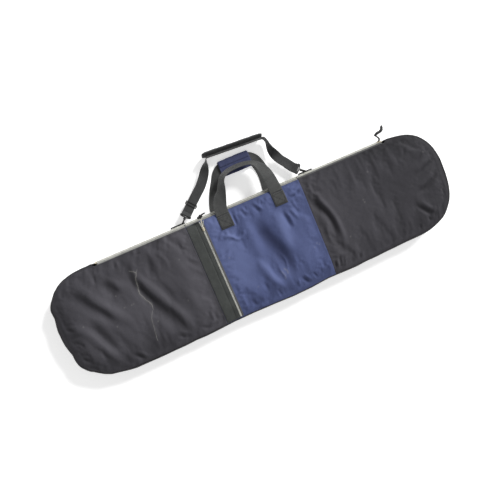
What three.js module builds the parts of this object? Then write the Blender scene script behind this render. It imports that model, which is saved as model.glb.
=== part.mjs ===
// Padded snowboard bag lying on its back, mouth zipped, strap and handles laid out.
// Millimetres. X runs along the bag (-X tail, +X nose), +Y towards the zip and
// handles, +Z out of the front face. The origin is the centre of the flat outer
// face of the back panel.
import * as THREE from 'three';

// ---------------------------------------------------------------- dimensions
const HALF_L = 798.5;            // outline half length, without piping
const HALF_W = 201;              // outline half width, without piping
const END = 220;                 // length of each rounded end
const END_POWER = 2.6;           // superellipse exponent of the rounded ends
const X_END = HALF_L - END;      // where the straight sides stop
const END_SEGMENTS = 18;         // steps round each end of the outline

const SEAM_Z = 66;               // height of the front seam
const CROWN = 14;                // rise of the front face above its seam
const ROLL = 70;                 // width of the rolled edge of the front face
const FRONT_EDGE_Y = 190.5;      // zip-side edge of the front face beside the zip
const CENTRE_HALF = 232;         // half length of the middle front section
const SECTION_GAP = 0.4;         // between neighbouring front sections

const SHELL = 1.2;               // woven outer fabric
const FOAM = 6;                  // closed-cell foam of the front
const BACK_FOAM_TOP = 9.2;
const LINING = 0.6;
const GAP = 0.3;                 // between layers

const GUSSET_T = 3;
const GUSSET_BOTTOM = 4.6;
const GUSSET_TOP = SEAM_Z - SHELL - GAP;
const GUSSET_ZIP_TOP = 45;       // top of the gusset strip on the zip side
const PIPING_R = 1.5;

const WEB_T = 2.2;               // webbing thickness
const HANDLE_W = 50;
const STRAP_W = 38;
const FRONT_HANDLE_X = { left: -86, right: 136 };   // middles of the handle ends
const BACK_HANDLE_X = { left: -94, right: 128 };
const DENT = 2.8;                // depth the back is pressed in over its handle ends

const SLIDER_L = 15;             // both zip sliders, along X
const TUBE_SIDES = 6;

// colour, roughness and metalness of each kind of part
const BLACK = 0x2b2a2d;
const CREAM = 0xcfcdbb;
const DARK = 0x26262a;
const FINISH = {
  black: { color: BLACK, roughness: 0.85 },
  navy: { color: 0x3d4573, roughness: 0.85 },
  webbing: { color: 0x2f3331, roughness: 0.85 },
  grey: { color: 0x4a4a50, roughness: 0.85 },          // linings and zip tapes
  foam: { color: 0x8d8f94, roughness: 0.95 },
  piping: { color: BLACK, roughness: 0.7 },
  teeth: { color: CREAM, roughness: 0.5 },
  zipStop: { color: CREAM, roughness: 0.4 },
  slider: { color: CREAM, roughness: 0.35 },
  cord: { color: DARK, roughness: 0.8 },
  ring: { color: DARK, roughness: 0.3, metalness: 0.6 },
  hook: { color: DARK, roughness: 0.35, metalness: 0.4 },
  adjuster: { color: DARK, roughness: 0.35, metalness: 0.2 },
};

const group = new THREE.Group();

// ---------------------------------------------------------------- helpers
const vec = (x, y, z) => new THREE.Vector3(x, y, z);
const X_AXIS = vec(1, 0, 0);
const Y_AXIS = vec(0, 1, 0);
const Z_AXIS = vec(0, 0, 1);

const clamp01 = value => Math.min(Math.max(value, 0), 1);
const range = (from, to, steps) =>
  Array.from({ length: steps + 1 }, (_, i) => from + (to - from) * i / steps);
const sortedUnique = values => [...new Set(values)].sort((a, b) => a - b);
const rect = (x0, x1, y0, y1) => [[x0, y0], [x1, y0], [x1, y1], [x0, y1]];
const arc = (cx, cy, radius, start, end, steps) =>
  range(start, end, steps).map(a => [cx + radius * Math.cos(a), cy + radius * Math.sin(a)]);
const circle = (cx, cy, radius, sides) =>
  arc(cx, cy, radius, 0, -2 * Math.PI * (sides - 1) / sides, sides - 1);
const pointAlong = (start, direction, distance) =>
  start.clone().addScaledVector(direction, distance);

function add(name, geometry, finish) {
  const mesh = new THREE.Mesh(geometry, new THREE.MeshStandardMaterial(finish));
  mesh.name = name;
  group.add(mesh);
}

// closed triangle soup -> geometry, turned outwards by its signed volume
function solid(verts, tris) {
  let volume = 0;
  for (const [a, b, c] of tris) {
    volume += verts[a].dot(verts[b].clone().cross(verts[c]));
  }
  const outward = volume < 0 ? tris.map(([a, b, c]) => [a, c, b]) : tris;
  const coords = verts.flatMap(v => [v.x, v.y, v.z]);
  const geometry = new THREE.BufferGeometry();
  geometry.setAttribute('position', new THREE.Float32BufferAttribute(coords, 3));
  geometry.setIndex(outward.flat());
  geometry.computeVertexNormals();
  return geometry;
}

// a chain of equal sections, with flat convex end caps unless it closes on itself
function loft(sections, closed = false) {
  const count = sections.length;
  const size = sections[0].length;
  const tris = [];
  for (let i = 0; i < (closed ? count : count - 1); i++) {
    const a = i * size;
    const b = ((i + 1) % count) * size;
    for (let j = 0; j < size; j++) {
      const k = (j + 1) % size;
      tris.push([a + j, a + k, b + k], [a + j, b + k, b + j]);
    }
  }
  if (!closed) {
    const end = (count - 1) * size;
    for (let j = 1; j < size - 1; j++) {
      tris.push([0, j + 1, j], [end, end + j, end + j + 1]);
    }
  }
  return solid(sections.flat(), tris);
}

// one YZ outline carried along X
const prism = (x0, x1, outline) =>
  loft([x0, x1].map(x => outline.map(([y, z]) => vec(x, y, z))));

// slab between two height fields; yAt(x, row) places each row in its column
function slab(columns, rows, yAt, topAt, bottomAt) {
  const nx = columns.length;
  const ny = rows.length;
  const verts = [];
  const tris = [];
  for (const heightAt of [topAt, bottomAt]) {
    for (const x of columns) {
      for (const row of rows) {
        const y = yAt(x, row);
        verts.push(vec(x, y, heightAt(x, y)));
      }
    }
  }
  const top = (i, j) => i * ny + j;
  const bottom = (i, j) => nx * ny + top(i, j);
  for (let i = 0; i < nx - 1; i++) {
    for (let j = 0; j < ny - 1; j++) {
      tris.push(
        [top(i, j), top(i + 1, j), top(i + 1, j + 1)],
        [top(i, j), top(i + 1, j + 1), top(i, j + 1)],
        [bottom(i, j), bottom(i + 1, j + 1), bottom(i + 1, j)],
        [bottom(i, j), bottom(i, j + 1), bottom(i + 1, j + 1)],
      );
    }
  }
  const wall = (a, b) => tris.push(
    [top(...a), bottom(...a), bottom(...b)],
    [top(...a), bottom(...b), top(...b)],
  );
  for (let i = 0; i < nx - 1; i++) {
    wall([i, 0], [i + 1, 0]);
    wall([i + 1, ny - 1], [i, ny - 1]);
  }
  for (let j = 0; j < ny - 1; j++) {
    wall([0, j + 1], [0, j]);
    wall([nx - 1, j], [nx - 1, j + 1]);
  }
  return solid(verts, tris);
}

// round bar along points; a flat bent bar gives the normal of its plane
function tube(points, radius, { closed = false, normal = null } = {}) {
  const count = points.length;
  return loft(points.map((point, i) => {
    const before = points[closed ? (i + count - 1) % count : Math.max(i - 1, 0)];
    const after = points[closed ? (i + 1) % count : Math.min(i + 1, count - 1)];
    const tangent = after.clone().sub(before).normalize();
    const side = normal ?? Z_AXIS.clone().cross(tangent).normalize();
    const other = tangent.clone().cross(side).normalize();
    return Array.from({ length: TUBE_SIDES }, (_, k) => {
      const angle = 2 * Math.PI * (k + 0.5) / TUBE_SIDES;
      return pointAlong(point, side, radius * Math.cos(angle))
        .addScaledVector(other, radius * Math.sin(angle));
    });
  }), closed);
}

// webbing through [x, y, z, wx, wy, wz] stations, w = direction across its width
function ribbon(stations, width) {
  const centres = stations.map(([x, y, z]) => vec(x, y, z));
  return loft(stations.map(([, , , wx, wy, wz], i) => {
    const after = centres[Math.min(i + 1, centres.length - 1)];
    const tangent = after.clone().sub(centres[Math.max(i - 1, 0)]).normalize();
    const across = vec(wx, wy, wz);
    across.addScaledVector(tangent, -across.dot(tangent)).normalize();
    const normal = tangent.clone().cross(across).normalize();
    return rect(-width / 2, width / 2, -WEB_T / 2, WEB_T / 2).map(([w, n]) =>
      pointAlong(centres[i], across, w).addScaledVector(normal, n));
  }));
}

function box(x0, x1, y0, y1, z0, z1) {
  const geometry = new THREE.BoxGeometry(x1 - x0, y1 - y0, z1 - z0);
  geometry.translate((x0 + x1) / 2, (y0 + y1) / 2, (z0 + z1) / 2);
  return geometry;
}

// outline in the plane of two axes at the origin point, thickened both ways
function plate(outline, holes, thickness, origin, axisP, axisQ) {
  // outlines run anticlockwise, holes clockwise
  const wind = (points, anticlockwise) => {
    const path = points.map(([p, q]) => new THREE.Vector2(p, q));
    return THREE.ShapeUtils.isClockWise(path) === anticlockwise ? path.reverse() : path;
  };
  const shape = new THREE.Shape(wind(outline, true));
  for (const hole of holes) shape.holes.push(new THREE.Path(wind(hole, false)));
  const geometry = new THREE.ExtrudeGeometry(shape, { depth: thickness, bevelEnabled: false });
  geometry.translate(0, 0, -thickness / 2);
  const normal = axisP.clone().cross(axisQ).normalize();
  geometry.applyMatrix4(new THREE.Matrix4().makeBasis(axisP, axisQ, normal).setPosition(origin));
  return geometry;
}

// ---------------------------------------------------------------- form of the bag
// half width of the outline, drawn in by d
function halfWidth(x, d = 0) {
  const t = clamp01((Math.abs(x) - X_END) / (END - d));
  return (HALF_W - d) * Math.pow(1 - Math.pow(t, END_POWER), 1 / END_POWER);
}

// distance in from the outline, by level sets
function edgeDistance(x, y) {
  const t = Math.max(Math.abs(x) - X_END, 0) / END;
  const sum = Math.pow(t, END_POWER) + Math.pow(Math.abs(y) / HALF_W, END_POWER);
  return Math.max((1 - Math.pow(sum, 1 / END_POWER)) * HALF_W, 0);
}

// height of the outer face of the front
function frontZ(x, y) {
  const t = Math.min(edgeDistance(x, y) / ROLL, 1);
  return SEAM_Z + CROWN * (1 - (1 - t) * (1 - t));
}

const overBackHandle = (x, margin) =>
  Object.values(BACK_HANDLE_X).some(middle => Math.abs(x - middle) < HANDLE_W / 2 + margin);

// the back turns up a little at its seam, and is pressed in over the handle ends
function backZ(x, y) {
  const turnUp = 3 * Math.pow(1 - Math.min(edgeDistance(x, y) / 14, 1), 2);
  return Math.max(turnUp, y > 124.5 && overBackHandle(x, 1) ? DENT : 0);
}

// [x, y] outline of one end, from the +Y side round to the -Y side, drawn in by d
function endPath(sign, d) {
  return range(0, 1, END_SEGMENTS).map(t => {
    const angle = Math.PI / 2 - Math.PI * t;
    const c = Math.cos(angle);
    const s = Math.sin(angle);
    return [
      sign * (X_END + (END - d) * Math.pow(Math.abs(c), 2 / END_POWER)),
      (HALF_W - d) * Math.sign(s) * Math.pow(Math.abs(s), 2 / END_POWER),
    ];
  });
}

// mesh columns through the rounded ends, both in order of rising x
const END_STEPS = [0, 60, 110, 150, 180, 200, 211, 216.5];
const NOSE_COLUMNS = END_STEPS.map(step => X_END + step);
const TAIL_COLUMNS = NOSE_COLUMNS.map(x => -x).reverse();
// mesh rows across the front face, as fractions of the half width
const FACE_ROWS = [-1, -0.975, -0.93, -0.85, -0.72, -0.4, 0, 0.4, 0.72, 0.85, 0.93, 0.975, 1];

// ---------------------------------------------------------------- back of the bag
const BACK_INNER_INSET = 9;      // foam and lining stop this far inside the outline
const backInnerY = (x, row) => row * halfWidth(x, BACK_INNER_INSET);

function backOuterPanel() {
  const dentColumns = Object.values(BACK_HANDLE_X).flatMap(middle =>
    [-27, -25.5, 25.5, 27].map(offset => middle + offset));
  const columns = sortedUnique([
    ...TAIL_COLUMNS, -400, -300, -200, ...dentColumns, 0, 250, 400, ...NOSE_COLUMNS,
  ]);
  const rows = [-1, -0.975, -0.93, -0.6, 0, 0.3, 0.613, 0.6225, 0.8, 0.93, 0.975, 1];
  const yAt = (x, row) => row * halfWidth(x);
  add('back_outer_panel',
    slab(columns, rows, yAt, (x, y) => backZ(x, y) + SHELL, backZ), FINISH.black);
}

// the foam clears the turned-up edge and the pressed-in handle ends
function backFoam() {
  const columns = sortedUnique([
    ...TAIL_COLUMNS, -300, -130, -125, -64, -59, 0, 93, 98, 158, 163, 300, ...NOSE_COLUMNS,
  ]).filter(x => Math.abs(x) < HALF_L - 12);
  const rows = [-1, -0.9, 0, 0.3, 0.6, 0.63, 0.9, 1];
  const underside = (x, y) => {
    const edge = edgeDistance(x, y) < 24 ? 1.6 : 0;
    const hollow = y > 118 && overBackHandle(x, 8) ? DENT : 0;
    return Math.max(edge, hollow) + SHELL + GAP;
  };
  add('back_foam', slab(columns, rows, backInnerY, () => BACK_FOAM_TOP, underside), FINISH.foam);
}

function backLining() {
  const columns = sortedUnique([...TAIL_COLUMNS, 0, ...NOSE_COLUMNS])
    .filter(x => Math.abs(x) < HALF_L - 8);
  const z = BACK_FOAM_TOP + GAP;
  add('back_lining',
    slab(columns, [-1, 0, 1], backInnerY, () => z + LINING, () => z), FINISH.grey);
}

// ---------------------------------------------------------------- front sections
// beyond the zip the zip-side edge runs out to the outline, over FLARE_L
const FLARE_TAIL = 588;
const FLARE_NOSE = 605;
const FLARE_L = 14;
function frontEdgeY(x) {
  const past = x > 0 ? x - FLARE_NOSE : -x - FLARE_TAIL;
  return FRONT_EDGE_Y + (HALF_W - FRONT_EDGE_Y) * clamp01(past / FLARE_L);
}

function frontSection(name, columns, finish) {
  const outerY = (x, row) => row * Math.min(halfWidth(x), row > 0 ? frontEdgeY(x) : 200);
  add(name + '_front_outer',
    slab(columns, FACE_ROWS, outerY, frontZ, (x, y) => frontZ(x, y) - SHELL), finish);

  const innerColumns = columns.filter(x => Math.abs(x) < HALF_L - 9);
  const innerRows = [-1, -0.93, -0.8, -0.5, 0, 0.5, 0.8, 0.93, 1];
  const innerY = (x, row) =>
    row * Math.min(halfWidth(x, 8), row > 0 ? FRONT_EDGE_Y - 3 : Infinity);
  const below = depth => (x, y) => frontZ(x, y) - depth;
  const foamTop = SHELL + 1.4;                 // depths below the outer face
  const foamBottom = foamTop + FOAM;
  const liningTop = foamBottom + GAP;
  add(name + '_front_foam',
    slab(innerColumns, innerRows, innerY, below(foamTop), below(foamBottom)), FINISH.foam);
  add(name + '_front_lining',
    slab(innerColumns, innerRows, innerY, below(liningTop), below(liningTop + LINING)),
    FINISH.grey);
}

function frontSections() {
  frontSection('tail', [
    ...TAIL_COLUMNS.slice(0, -1), -FLARE_TAIL - FLARE_L, -FLARE_TAIL,
    -480, -380, -CENTRE_HALF - SECTION_GAP,
  ], FINISH.black);
  frontSection('centre', [-CENTRE_HALF, -120, 0, 120, CENTRE_HALF], FINISH.navy);
  frontSection('nose', [
    CENTRE_HALF + SECTION_GAP, 380, 480, X_END,
    FLARE_NOSE, FLARE_NOSE + FLARE_L, ...NOSE_COLUMNS.slice(1),
  ], FINISH.black);
}

// ---------------------------------------------------------------- outer pocket
// over the tail section, open towards the middle of the bag
const POCKET_ZIP_X = -174;

function pocketPanel() {
  const yAt = (x, row) => row * Math.min(halfWidth(x, 1.5), row > 0 ? FRONT_EDGE_Y - 1 : 198);
  const underside = (x, y) => {
    const t = Math.min(edgeDistance(x, y) / 60, 1);
    return frontZ(x, y) + 0.5 + 3.2 * t * t * (3 - 2 * t);
  };
  const raised = height => (x, y) => underside(x, y) + height;
  const columns = [...TAIL_COLUMNS.slice(1), -480, -380, -300, -CENTRE_HALF - 0.6];
  add('pocket_panel', slab(columns, FACE_ROWS, yAt, raised(1.1), underside), FINISH.black);
  // stiff webbing along the pocket mouth
  add('pocket_webbing_band',
    slab([-230, -205, -180], FACE_ROWS, yAt, raised(1.4), raised(-0.4)), FINISH.webbing);
}

// tape and tooth row each side; the rows part above the slider
function pocketZip() {
  const partY = 166;
  const topY = FRONT_EDGE_Y - 3;
  const faceYs = FACE_ROWS.map(row => row * (row > 0 ? FRONT_EDGE_Y : 200))
    .filter(y => y > -195.9 && y < 186);
  const stations = sortedUnique([-196, ...faceYs, partY, 178, topY]);
  const parted = (closedX, openX) => y =>
    closedX + (openX - closedX) * Math.max(0, (y - partY) / (topY - partY));
  const strip = (centreX, x0, x1, z0, z1) => loft(stations.map(y => {
    const faceZ = frontZ(POCKET_ZIP_X, y);
    return rect(x0, x1, z0, z1).map(([x, z]) => vec(centreX(y) + x, y, faceZ + z));
  }));
  const teeth = centreX => strip(centreX, -2, 2, 0.9, 3.1);
  const tape = (x0, x1) => strip(() => POCKET_ZIP_X, x0, x1, 0.25, 0.65);
  add('pocket_zip_teeth_left', teeth(parted(-176.6, -177.8)), FINISH.teeth);
  add('pocket_zip_teeth_right', teeth(parted(-171.4, -160)), FINISH.teeth);
  add('pocket_zip_tape_left', tape(-5.5, -0.3), FINISH.grey);
  add('pocket_zip_tape_right', tape(0.3, 10), FINISH.grey);
}

// the slider rides level, clear of the crown of the face
function pocketPull() {
  const profile = [                            // [x, z] from the crown
    [-4.6, 3.5], [4.6, 3.5], [4.6, 5], [1.3, 5], [1.3, 7.8], [-1.3, 7.8], [-1.3, 5], [-4.6, 5],
  ];
  const origin = vec(POCKET_ZIP_X, 158, SEAM_Z + CROWN);
  add('pocket_slider', plate(profile, [], SLIDER_L, origin, X_AXIS, Z_AXIS), FINISH.slider);
  add('pocket_pull_cord', tube([
    vec(POCKET_ZIP_X, 167.5, 86.2), vec(-171, 182, 86.6), vec(-167, 200, 86.6),
    vec(-160, 208, 86), vec(-148, 211, 85.6),
  ], 1.7), FINISH.cord);
}

// ---------------------------------------------------------------- gusset and piping
const wallSection = (outer, inner, top) => [
  vec(...outer, GUSSET_BOTTOM), vec(...outer, top),
  vec(...inner, top), vec(...inner, GUSSET_BOTTOM),
];

function straightGusset(name, side, endX, top) {
  add(name, loft([-endX, -289, 0, 289, endX].map(x =>
    wallSection([x, side * HALF_W], [x, side * (HALF_W - GUSSET_T)], top))), FINISH.black);
}

// low beside the zip, rising to full height between the two step stations
function endGusset(name, sign, stepXs) {
  const path = d => {
    const points = endPath(sign, d);
    // start a hair past the straight sides
    points[0][0] += sign * 0.4;
    points.at(-1)[0] += sign * 0.4;
    points.splice(1, 0, ...stepXs.map(x => [x, halfWidth(x, d)]));
    return points;
  };
  const inner = path(GUSSET_T);
  add(name, loft(path(0).map((outer, i) =>
    wallSection(outer, inner[i], i < 2 ? GUSSET_ZIP_TOP : GUSSET_TOP))), FINISH.black);
}

function gussets() {
  straightGusset('gusset_zip_side', 1, X_END, GUSSET_ZIP_TOP);
  straightGusset('gusset_lower', -1, X_END - 0.3, GUSSET_TOP);
  endGusset('gusset_tail', -1, [-590, -597]);
  endGusset('gusset_nose', 1, [609, 616]);
}

function piping() {
  const outset = PIPING_R + 0.6;
  const sideY = HALF_W + outset;
  const tail = endPath(-1, -outset);
  const nose = endPath(1, -outset).reverse();
  const atHeight = (points, z) => points.map(([x, y]) => vec(x, y, z));

  const frontPath = atHeight([...tail, [0, -sideY], ...nose], SEAM_Z - 0.6);
  frontPath[0].x = -598;                       // bare beside the zip
  frontPath.at(-1).x = 617;
  add('front_piping', tube(frontPath, PIPING_R), FINISH.piping);

  const backPath = atHeight([
    ...tail, [-190, -sideY], [190, -sideY], ...nose, [190, sideY], [-190, sideY],
  ], 4.9);
  add('back_piping', tube(backPath, PIPING_R, { closed: true }), FINISH.piping);
}

// ---------------------------------------------------------------- main zip
// centre line of the chain in the YZ plane, u across the chain, n out of it
const CHAIN = { y: 202.5, z: 53 };
const CHAIN_U = { y: -0.6606, z: 0.7507 };
const CHAIN_N = { y: CHAIN_U.z, z: -CHAIN_U.y };
const ZIP_X0 = -579;
const ZIP_X1 = 601;
const TAPE_T = 0.8;
const TAPE_U = 5.5;              // edge of each tape at the chain
const SLIDER_X = 594;
const LUG_N = 5.7;               // hole in the slider's lug, out from the chain

const chainPoint = (u, n) => [
  CHAIN.y + CHAIN_U.y * u + CHAIN_N.y * n,
  CHAIN.z + CHAIN_U.z * u + CHAIN_N.z * n,
];
const chainBar = (x0, x1, u0, u1, halfT) =>
  prism(x0, x1, rect(u0, u1, -halfT, halfT).map(([u, n]) => chainPoint(u, n)));
const teethBar = (x0, x1, u0, u1) => chainBar(x0, x1, u0, u1, 1.5);
const stopBar = (x0, x1) => chainBar(x0, x1, -5, 5, 1.9);

// flat tape between two [y, z] edges
function tapeBar(x0, x1, from, to) {
  const dy = to[0] - from[0];
  const dz = to[1] - from[1];
  const scale = TAPE_T / 2 / Math.hypot(dy, dz);
  const shift = ([y, z], side) => [y + side * dz * scale, z - side * dy * scale];
  return prism(x0, x1, [shift(from, -1), shift(to, -1), shift(to, 1), shift(from, 1)]);
}

function mainZip() {
  add('zip_back_teeth', teethBar(ZIP_X0, ZIP_X1, -5.1, -0.9), FINISH.teeth);
  add('zip_back_tape',
    tapeBar(ZIP_X0, ZIP_X1, [202, 43.4], chainPoint(-TAPE_U, 0)), FINISH.grey);
  // the front half is divided like the front sections
  const parts = [
    ['tail', ZIP_X0, -CENTRE_HALF - SECTION_GAP],
    ['centre', -CENTRE_HALF, CENTRE_HALF],
    ['nose', CENTRE_HALF + SECTION_GAP, ZIP_X1],
  ];
  for (const [name, x0, x1] of parts) {
    add('zip_front_teeth_' + name, teethBar(x0, x1, 0.9, 5.1), FINISH.teeth);
    add('zip_front_tape_' + name,
      tapeBar(x0, x1, chainPoint(TAPE_U, 0), [192.6, 65.2]), FINISH.grey);
  }
  add('zip_stop_tail', stopBar(ZIP_X0 - 7, ZIP_X0 - 0.5), FINISH.zipStop);
  add('zip_stop_nose', stopBar(ZIP_X1 + 0.5, ZIP_X1 + 4), FINISH.zipStop);
}

// two plates and the web that parts the rows, with a lug for the cord
function mainSlider() {
  const profile = [                            // [u, n]
    [-4.9, 2.1], [-0.55, 2.1], [-0.55, -2.1], [-4.9, -2.1],
    [-4.9, -3.6], [4.9, -3.6], [4.9, -2.1], [0.55, -2.1],
    [0.55, 2.1], [4.9, 2.1], [4.9, 3.8], [1.6, 3.8],
    [1.6, 7.6], [-1.6, 7.6], [-1.6, 3.8], [-4.9, 3.8],
  ];
  const axisU = vec(0, CHAIN_U.y, CHAIN_U.z);
  const axisN = vec(0, CHAIN_N.y, CHAIN_N.z);
  add('main_slider', plate(profile, [circle(0, LUG_N, 1, 8)], SLIDER_L,
    vec(SLIDER_X, CHAIN.y, CHAIN.z), axisU, axisN), FINISH.slider);
}

// cord from the slider's lug and its grip, lying out past the edge
function mainPull() {
  const x = SLIDER_X;
  const [lugY, lugZ] = chainPoint(0, LUG_N);
  add('main_pull_cord', tube([
    vec(x + 10, lugY - 0.2, lugZ + 0.2), vec(x + 9, lugY + 6, lugZ + 3),
    vec(x + 2, lugY + 14, lugZ + 4), vec(x - 4, 231, lugZ + 3.5),
  ], 1.4), FINISH.cord);
  add('main_pull_grip', tube([
    vec(x - 3.6, 234.6, 60.3), vec(x + 8, 237.5, 59.5), vec(x + 24, 240.5, 58.5),
    vec(x + 31, 246, 57), vec(x + 36, 257, 55),
  ], 2.5), FINISH.cord);
}

// ---------------------------------------------------------------- handles
function frontHandle() {
  const { left, right } = FRONT_HANDLE_X;
  const raised = height => (x, y) => frontZ(x, y) + height;
  for (const [side, middle] of Object.entries(FRONT_HANDLE_X)) {
    const columns = [middle - HANDLE_W / 2, middle + HANDLE_W / 2];
    add('front_handle_patch_' + side,
      slab(columns, range(127, 177, 6), (x, y) => y, raised(GAP + WEB_T), raised(GAP)),
      FINISH.webbing);
  }
  const endY = 178.6;                          // webbing leaves its patches here
  const endZ = frontZ(0, endY) + GAP + WEB_T / 2;
  add('front_handle_webbing', ribbon([
    [right, endY, endZ, -1, 0, 0],
    [134.5, 222, endZ - 3.2, -0.99, -0.06, 0.1],
    [131, 262, 66, -0.93, -0.2, 0.28],
    [123, 291, 59.5, -0.76, -0.33, 0.55],
    [110, 311.5, 55, -0.45, -0.43, 0.78],
    [90, 325, 52.2, -0.14, -0.47, 0.87],
    [62, 331, 50.3, -0.02, -0.48, 0.877],
    [28, 331.5, 49.8, 0, -0.48, 0.877],
    [-3, 327, 50.6, 0.02, -0.46, 0.888],
    [-26, 316, 53.2, 0.15, -0.42, 0.895],
    [-42, 296, 58.2, 0.33, -0.28, 0.9],
    [-54, 268, 64.8, 0.56, -0.24, 0.79],
    [-71, 239, 70.4, 0.89, -0.26, 0.37],
    [-84.8, 204, endZ - 1.7, 0.999, -0.05, 0.01],
    [left, endY, endZ, 1, 0, 0],
  ], HANDLE_W), FINISH.webbing);
}

function backHandle() {
  const { left, right } = BACK_HANDLE_X;
  for (const [side, middle] of Object.entries(BACK_HANDLE_X)) {
    add('back_handle_patch_' + side, box(middle - HANDLE_W / 2, middle + HANDLE_W / 2,
      126.5, 206, GAP, GAP + WEB_T), FINISH.webbing);
  }
  const endZ = GAP + WEB_T / 2 + 0.4;
  add('back_handle_webbing', ribbon([
    [left, 207, endZ, 1, 0, 0],
    [left, 214, endZ, 1, 0, 0],
    [-89, 240, endZ, 0.99, -0.12, 0],
    [-75, 276, endZ + 0.6, 0.9, -0.43, 0],
    [-55, 311, endZ + 2, 0.82, -0.57, 0],
    [-37, 335, endZ + 5, 0.5, -0.86, 0],
    [-14, 348.5, 9, 0.1, -1, 0],
    [6, 350.5, 9.5, 0, -1, 0],
    [82, 350.5, 9.5, 0, -1, 0],
    [102, 348.5, 9, -0.1, -1, 0],
    [118, 336, endZ + 5, -0.5, -0.86, 0],
    [129, 311, endZ + 2, -0.86, -0.5, 0],
    [134, 278, endZ + 0.6, -0.98, -0.2, 0],
    [132, 240, endZ, -1, 0.06, 0],
    [right, 214, endZ, -1, 0, 0],
    [right, 207, endZ, -1, 0, 0],
  ], HANDLE_W), FINISH.webbing);
}

// padded wrap round the far run of the back handle, with a hook-and-loop flap
function gripWrap() {
  const middle = 44;
  add('grip_wrap', plate(rect(316, 383, 0.8, 18), [rect(321.5, 377.5, 4.5, 14.5)], 106,
    vec(middle, 0, 0), Y_AXIS, Z_AXIS), FINISH.navy);
  add('grip_flap', box(middle - 51, middle + 51, 356.5, 379, 18.4, 20), FINISH.navy);
}

// ---------------------------------------------------------------- strap anchors
const BAR = { y: 209, z: 12.4 };               // axis of the ring bars in the tabs
const LEAN = 8 * Math.PI / 180;                // rings lean out from upright
const RING_DEPTH = 22;                         // between the long sides of a ring
const WIRE_R = 2.2;
// point s up a leaning ring from its bar
const ringPoint = (x, s) => vec(x, BAR.y + s * Math.sin(LEAN), BAR.z + s * Math.cos(LEAN));

// rectangular ring with rounded corners, from x0 to x1 over the wire
function anchorRing(side, x0, x1) {
  const a = x0 + WIRE_R;
  const b = x1 - WIRE_R;
  const far = RING_DEPTH;
  const corner = 4;
  const cut = 1.2;                             // middle point of each rounded corner
  const path = [
    [a + corner, 0], [b - corner, 0], [b - cut, cut], [b, corner],
    [b, far - corner], [b - cut, far - cut], [b - corner, far], [a + corner, far],
    [a + cut, far - cut], [a, far - corner], [a, corner], [a + cut, cut],
  ].map(([x, s]) => ringPoint(x, s));
  const normal = vec(0, -Math.cos(LEAN), Math.sin(LEAN));
  add('ring_' + side, tube(path, WIRE_R, { closed: true, normal }), FINISH.ring);
}

// webbing tab folded round the bar, against the gusset
function ringTab(side, middle) {
  const turn = Math.PI * 0.72;
  const outline = [                            // [y, z]
    [201.4, 23], [203, 23], [203, 16.8],
    ...arc(BAR.y, BAR.z, 5.4, turn, -turn, 10),
    [203, 7.2], [201.4, 7.2],
  ];
  add('ring_tab_' + side, plate(outline, [circle(BAR.y, BAR.z, 3.2, 10)], 36,
    vec(middle, 0, 0), Y_AXIS, Z_AXIS), FINISH.webbing);
}

function strapAnchors() {
  for (const [side, x0, x1] of [['left', -284, -226], ['right', 252, 311]]) {
    anchorRing(side, x0, x1);
    ringTab(side, (x0 + x1) / 2);
  }
}

// ---------------------------------------------------------------- shoulder strap
// hook, gate and bale at one ring; returns the reference point for the webbing end
function strapHook(side, origin, along) {
  const across = along.clone().cross(Z_AXIS).normalize();     // level
  const upward = across.clone().cross(along).normalize();

  // open eye: a long link with its upper side cut away for the gate
  const outerR = 9.6;
  const innerR = 7;
  const p0 = -2;                               // centres of the link's round ends
  const p1 = 12;
  const link = [
    ...arc(p0, 0, outerR, Math.PI * 0.62, Math.PI * 1.5, 7),
    ...arc(p1, 0, outerR, -Math.PI * 0.5, -0.5, 4),
    [23.4, -3.2], [23.4, 3.2],
    ...arc(p1, 0, outerR, 0.5, Math.PI * 0.4, 2),
    ...arc(p1, 0, innerR, Math.PI * 0.4, -Math.PI * 0.5, 6),
    ...arc(p0, 0, innerR, Math.PI * 1.5, Math.PI * 0.62, 7),
  ];
  add(side + '_hook', plate(link, [], 4.4, origin, along, upward), FINISH.hook);
  // gate: bar across the cut
  add(side + '_gate', plate(rect(p0, p1, 6.4, 9.2), [], 3.6, origin, along, upward), FINISH.hook);

  // post and slotted bale for the webbing
  const post = pointAlong(origin, along, 23.9);
  const outline = [
    [0, -4], [4, -4], [9.5, -20], [23, -22.5], [23, 22.5], [9.5, 20], [4, 4], [0, 4],
  ];
  const slot = [[12.2, -18], [12.2, 18], [19, 19], [19, -19]];
  add(side + '_bale', plate(outline, [slot], 4, post, along, across), FINISH.hook);
  return pointAlong(post, along, 24.2);
}

// the padded run is a slightly sloping line
const PAD_X = 57;
const PAD_RUN_Y = 404.5;
const PAD_SLOPE = -0.054;
const PAD_Z = 31;
const padRunY = x => PAD_RUN_Y + PAD_SLOPE * (x - PAD_X);

function strapWebbing(leftEnd, leftDir, rightEnd, rightDir) {
  const left = s => [...pointAlong(leftEnd, leftDir, s).toArray(), leftDir.y, -leftDir.x, 0];
  const right = s =>
    [...pointAlong(rightEnd, rightDir, -s).toArray(), -rightDir.y, rightDir.x, 0];
  const padRun = (x, dy = 0) => [x, padRunY(x) + dy, PAD_Z, 0, 0, 1];
  add('strap_webbing', ribbon([
    left(5), left(45), left(88), left(110),
    [-96, 341, 25.2, 0.74, -0.56, 0.36],
    [-80, 364, 27, 0.55, -0.4, 0.73],
    [-69, 383, 29.2, 0.24, -0.14, 0.96],
    [-61, 397, 30.6, 0.06, -0.03, 1],
    padRun(-51, -1.4), padRun(-38), padRun(0), padRun(PAD_X),
    padRun(115), padRun(169), padRun(183, -2.5),
    [189.5, 380, 30, 0.05, 0.02, 1],
    [190.5, 360, 27, 0.3, 0.06, 0.94],
    [194, 339, 24.5, 0.62, 0.2, 0.74],
    right(70), right(35), right(10.5),
  ], STRAP_W), FINISH.webbing);
}

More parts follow.
